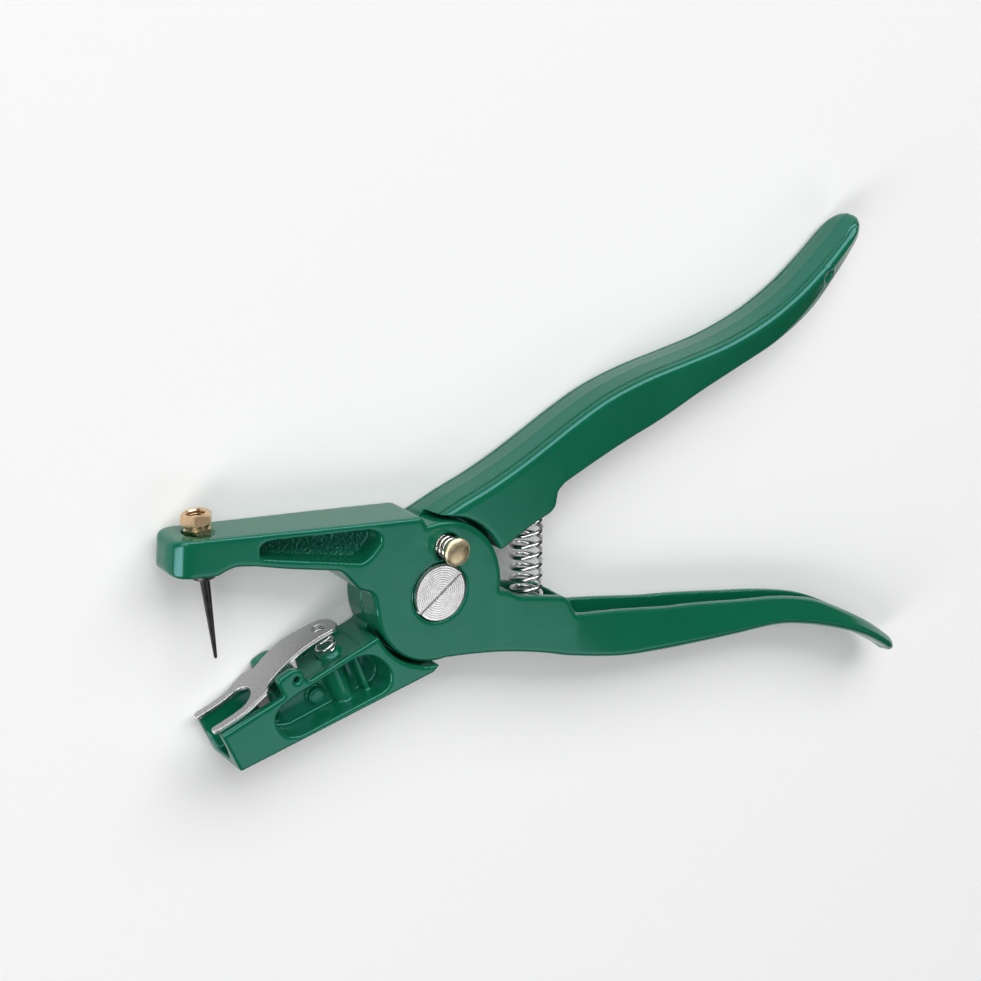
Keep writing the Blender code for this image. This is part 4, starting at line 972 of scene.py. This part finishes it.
NEEDLE_ROOT_R, NEEDLE_TIP_R, NEEDLE_LEN, NEEDLE_FLANGE_H = 1.3, 0.45, 22.4, 2.3
BRASS_HEX_R, BRASS_HEX_H, BRASS_WAIST_R, BRASS_WAIST_H, BRASS_FOOT_H = 4.3, 2.9, 3.3, 0.4, 3.15
HEX_RIM, HEX_FACE, HEX_DROP = 0.12, 0.95, 0.75      # rounding, and how its corners are turned off
THREAD_WIRE, THREAD_TURNS = 0.3, 8.0


def hex_block(name, radius, low, high, place):
    """A hexagon with rounded rims and its corners turned off at both ends."""
    block = plate(name, [polar(radius, 60 * k + 30) for k in range(6)], low, high, HEX_RIM, place)
    reach, face = radius + 0.1, radius - HEX_FACE
    cone = turned("cone", [(0, high + 0.1), (face, high), (reach, high - HEX_DROP), (reach, low + HEX_DROP),
                           (face, low), (0, low - 0.1)], place)
    return combine(block, [cone], "INTERSECT")


def needle_and_nut():
    place = needle_stand()
    flange = -needle_drop() - FIT
    base = flange - NEEDLE_FLANGE_H
    tip = base - NEEDLE_LEN
    shelf = BRASS_FOOT_H - BRASS_FOOT_SUNK
    crest = shelf + BRASS_WAIST_H + BRASS_HEX_H
    shank_top = crest - 1.6
    needle = turned("needle_turned", [
        (0, shank_top), (NEEDLE_SHANK_R - 0.4, shank_top), (NEEDLE_SHANK_R, shank_top - 0.4),
        (NEEDLE_SHANK_R, flange), (NEEDLE_FLANGE_R - 0.15, flange), (NEEDLE_FLANGE_R, flange - 0.15),
        (NEEDLE_FLANGE_R, base + 0.5), (NEEDLE_FLANGE_R - 0.35, base + 0.12), (NEEDLE_FLANGE_R - 0.9, base),
        (NEEDLE_ROOT_R + 0.4, base), (NEEDLE_ROOT_R + 0.12, base - 0.12), (NEEDLE_ROOT_R, base - 0.5),
        (NEEDLE_TIP_R, tip + 0.5), (NEEDLE_TIP_R * 0.85, tip + 0.2), (NEEDLE_TIP_R * 0.5, tip + 0.05),
        (0, tip)], place, 48)
    keep_piece(needle, BLACK_STEEL, "needle_lever", "black_steel", "needle", sharp=40)
    seat = -BRASS_FOOT_SUNK + FIT
    bore = NEEDLE_SHANK_R + FIT
    nut = fuse(hex_block("needle_nut_milled", BRASS_HEX_R, crest - BRASS_HEX_H, crest, place),
               hex_block("foot", BRASS_FOOT_R, seat, shelf, place),
               rod("waist", BRASS_WAIST_R, shelf - 0.5, crest - BRASS_HEX_H + 0.5, place, 64))
    nut = cut(nut, turned("nut_bore", [(0, crest + 1), (bore + 1.0, crest + 1), (bore, crest - 0.4),
                                       (bore, seat - 1), (0, seat - 1)], place, 64))
    keep_piece(nut, YELLOW_BRASS, "needle_lever", "brass", "needle_nut", sharp=30)
    thread = wire_coil("nut_thread", bore, THREAD_WIRE, THREAD_TURNS, crest - seat - 1.0,
                       place @ Matrix.Translation((0, 0, (seat + 0.3) * MM)), YELLOW_BRASS,
                       end_turns=0.0, end_pitch=1.0, points_per_turn=48, sides=6)
    keep_piece(thread, YELLOW_BRASS, "needle_lever", "brass")


CLIP_T, CLIP_W, CLIP_SHOULDER_W, CLIP_WAIST_W, CLIP_TONGUE_W = 1.1, 13.0, 13.8, 9.8, 8.2
CLIP_BEND, CLIP_SLOT_W, CLIP_SLOT_LEN, CLIP_OVERHANG = 0.12, 8.0, 14.7, 0.9
CLIP_RIM = 0.16             # rounding of the sheared edges
CLIP_HOLE_R = CLIP_SPAN * 0.1
CLIP_STEP = 0.7             # between the places where the blank bends
CLIP_REST = JAW_TOP + FIT
CLIP_END = JAW_LEN + CLIP_OVERHANG


def clip_spine():
    """Underside of the clip along its length: u and v in the jaw's frame."""
    spine = [(CLIP_END, CLIP_REST), (JAW_LEN - 5.0, CLIP_REST), (JAW_LEN - 9.5, CLIP_REST + 0.45),
             (JAW_LEN - 13.2, CLIP_REST + 1.6), (JAW_LEN - 15.8, CLIP_REST + 2.3),
             (PIN_U + 5.6, CLIP_REST + 3.1), (PIN_U + 0.9, CLIP_REST + 4.8)]
    spine += [(CLIP_TAIL + CLIP_SPAN * share, CLIP_REST + rise)
              for share, rise in ((0.73, 6.05), (0.47, 6.15), (0.21, 5.85), (0.06, 5.3), (0.0, 4.9))]
    return smooth_rows(spine, 8)[::-1]


def clip_plan():
    """Half the outline of the flat blank, from the tail round the fork to the slot: u, and the distance
    from the middle."""
    w, shoulder, waist, t, s = (size / 2 for size in
                                (CLIP_W, CLIP_SHOULDER_W, CLIP_WAIST_W, CLIP_TONGUE_W, CLIP_SLOT_W))
    slot_end = CLIP_END - CLIP_SLOT_LEN
    tail = [(CLIP_TAIL + CLIP_SPAN * share, t * wide)
            for share, wide in ((0, 0), (0.012, 0.35), (0.045, 0.64), (0.09, 0.84), (0.15, 0.96))]
    rim = [(CLIP_SPRING_U, t), (PIN_U - 3.4, waist), (slot_end - 4.4, waist), (slot_end - 3.7, waist + 0.2),
           (slot_end - 2.5, shoulder - 0.4), (slot_end - 1.8, shoulder), (slot_end + 3.5, w),
           (CLIP_END - 1.2, w), (CLIP_END - 0.35, w - 0.35), (CLIP_END, w - 1.0)]
    side = [(CLIP_END, s + 0.8), (CLIP_END - 0.3, s + 0.25), (CLIP_END - 1.0, s)]
    side += [(slot_end + s - s * math.sin(a), s * math.cos(a)) for a in [k * math.pi / 24 for k in range(12)]]
    return tail + rim + side + [(slot_end, 0.0)]


def pressed_clip():
    """A flat blank with rounded rims and a hole, bent along its spine, and two cheeks on the pin."""
    half = clip_plan()
    plan = half + [(u, -z) for u, z in half[-2:0:-1]]
    ring = [(CLIP_SPRING_U + CLIP_HOLE_R * math.cos(a), CLIP_HOLE_R * math.sin(a))
            for a in [k * math.tau / 48 for k in range(48)]]
    blank = plate("tag_clip_pressed", plan, -CLIP_T / 2, CLIP_T / 2, CLIP_RIM, hole=ring)
    first = CLIP_TAIL + CLIP_STEP / 2
    bends = [first + CLIP_STEP * k for k in range(math.ceil((CLIP_END - first) / CLIP_STEP))]
    spine = clip_spine()
    with reworked(blank) as bm:
        sliced(bm, bends, Vector((1, 0, 0)))
        for vert in bm.verts:
            u = min(max(vert.co.x / MM, spine[0][0]), spine[-1][0])
            i = max(k for k in range(len(spine) - 1) if spine[k][0] <= u)
            (u0, v0), (u1, v1) = spine[i], spine[i + 1]
            slope = (v1 - v0) / (u1 - u0)
            rise = v0 + slope * (u - u0)
            vert.co.z = rise * MM + (vert.co.z + CLIP_T / 2 * MM) * math.hypot(1, slope)
        bmesh.ops.transform(bm, matrix=stand((0, 0, MID), -JAW_BACK, JAW_UP), verts=bm.verts)
        bmesh.ops.recalc_face_normals(bm, faces=bm.faces)
    cheek = [(PIN_U + 4.6, CLIP_REST + 3.9), (PIN_U + 4.4, CLIP_REST + 2.6), (PIN_U + 2.6, PIN_V - 1.6),
             (PIN_U + 0.4, PIN_V - 2.2), (PIN_U - 1.6, PIN_V - 1.6), (PIN_U - 2.4, PIN_V),
             (PIN_U - 2.8, CLIP_REST + 6.2)]
    cheek = rounded([along_jaw(u, v) for u, v in cheek][::-1], 1.0, 4)
    outer = CLIP_WAIST_W / 2 - CLIP_BEND
    inner = outer - CLIP_T
    clip = fuse(blank, plate("front_cheek", cheek, MID + inner, MID + outer, CLIP_RIM),
                plate("back_cheek", cheek, MID - outer, MID - inner, CLIP_RIM))
    return cut(clip, rod("pin_hole", PIN_R + FIT, 0, THICK, pin_stand(), 40))


CLIP_SPRING_R, CLIP_SPRING_WIRE, CLIP_SPRING_TURNS = 2.6, 0.7, 3.0
CLIP_SPRING_TOP = 5.75      # above the clip's rest


def clip_pin_and_spring():
    clip = keep_piece(pressed_clip(), SHADED_BRUSHED_STEEL, "tag_clip", "clip_steel", "tag_clip", sharp=50)
    # faces turned away from the clip's top, its sheared rims and cheeks, get the pale steel as painted
    # highlight; top and underside keep the dark steel, partly painted shade
    second_material(clip, HIGHLIT_SIDE_STEEL, lambda face: abs(face.normal.dot(JAW_UP)) < 0.6)
    low, high = PIN_SUNK, THICK - PIN_SUNK
    pin = turned("clip_pin_turned", [
        (0, high), (PIN_R - 0.25, high), (PIN_R - 0.07, high - 0.07), (PIN_R, high - 0.25),
        (PIN_R, low + 0.25), (PIN_R - 0.25, low), (0, low)], pin_stand(), 48)
    # the pin is painted near black, as the shade at the bottom of its holes in the ears
    keep_piece(pin, DARK_STEEL_AND_SHADE, "tag_lever", "bright_steel", "clip_pin", sharp=40)
    deck = JAW_TOP - DECK_DROP + CLIP_SEAT_H + FIT / 2
    under = CLIP_REST + CLIP_SPRING_TOP
    spring = wire_coil("clip_spring_wire", CLIP_SPRING_R, CLIP_SPRING_WIRE, CLIP_SPRING_TURNS, under - deck,
                       on_jaw(CLIP_SPRING_U, deck, MID, (0, 0, 1), JAW_UP), CHROME_WIRE)
    keep_piece(spring, CHROME_WIRE, "tag_lever", "spring_steel", "clip_spring")
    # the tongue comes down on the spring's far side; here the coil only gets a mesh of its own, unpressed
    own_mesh(spring)


castings()
pivot_screw_and_nut()
lock_button_and_spring()
return_spring()
needle_and_nut()
clip_pin_and_spring()

# camera at the photograph's angle
CAMERA_AXES = ((0.8374612138, 0.1702539550, -0.5192998230), (0.0, 0.9502340274, 0.3115369853),
               (0.5464967661, -0.2609001419, 0.7957841420))
CAMERA_PLACE = (-0.2672611826, 0.1953910276, 0.4503211376)

# floor and lamps
FLOOR_HALF, FLOOR_SINK = 3.0, 0.0002
FLOOR_COLOUR = 0.85
FLOOR_LIFT = 0.05           # added to the floor where it is seen, so that it looks nearly white
WORLD_GLOW = 0.05
LAMP_DISTANCE = 3.6
LAMPS = {                   # direction from the pivot, width and height in metres, glow (1 is white)
    "key": ((-0.45, 0.40, 0.80), (2.6, 2.6), 2.0),
    "top": ((0.16, 0.77, 0.62), (4.8, 2.2), 3.8),
    "left": ((-0.77, -0.31, 0.49), (1.3, 2.8), 5.4),
    "sheen": ((0.35, -0.57, 0.73), (2.1, 1.6), 1.15),
}


def add_camera():
    data = bpy.data.cameras.new("camera")
    data.lens = 75.4422
    data.sensor_width = 36.0
    data.clip_start = 0.01
    camera = in_scene("camera", data)
    camera.matrix_world = Matrix.Translation(CAMERA_PLACE) @ Matrix(CAMERA_AXES).to_4x4()
    bpy.context.scene.camera = camera


def add_floor():
    bm = bmesh.new()
    bmesh.ops.create_grid(bm, x_segments=1, y_segments=1, size=FLOOR_HALF)
    material, tree, shader = new_material("pale_floor")
    path = add_node(tree, "ShaderNodeLightPath")
    higher = partial(maths, tree, "MAXIMUM")
    seen = higher(higher(path["Is Camera Ray"], path["Is Glossy Ray"]), path["Is Transmission Ray"])
    lift = maths(tree, "MULTIPLY", seen, FLOOR_LIFT)
    fill(tree, shader, {"Base Color": grey(FLOOR_COLOUR), "Roughness": 0.9, "Specular IOR Level": 0.0,
                        "Emission Color": grey(1.0), "Emission Strength": lift})
    floor = add_piece("floor", bm)
    floor.data.materials.append(material)
    floor.location.z = -FLOOR_SINK


def add_lamp(name, direction, size, glow):
    data = bpy.data.lights.new(name, "AREA")
    data.shape = "RECTANGLE"
    data.size, data.size_y = size
    data.energy = glow * math.pi * size[0] * size[1]
    lamp = in_scene(name, data)
    lamp.location = Vector(direction).normalized() * LAMP_DISTANCE
    lamp.rotation_euler = (-lamp.location).to_track_quat("-Z", "Y").to_euler()


add_camera()
add_floor()
for name, lamp in LAMPS.items():
    add_lamp(name, *lamp)
world = bpy.data.worlds.new("studio")
world.use_nodes = True
fill(world.node_tree, world.node_tree.nodes["Background"], {"Color": grey(1.0), "Strength": WORLD_GLOW})
bpy.context.scene.world = world
bpy.context.scene.view_settings.view_transform = "Standard"
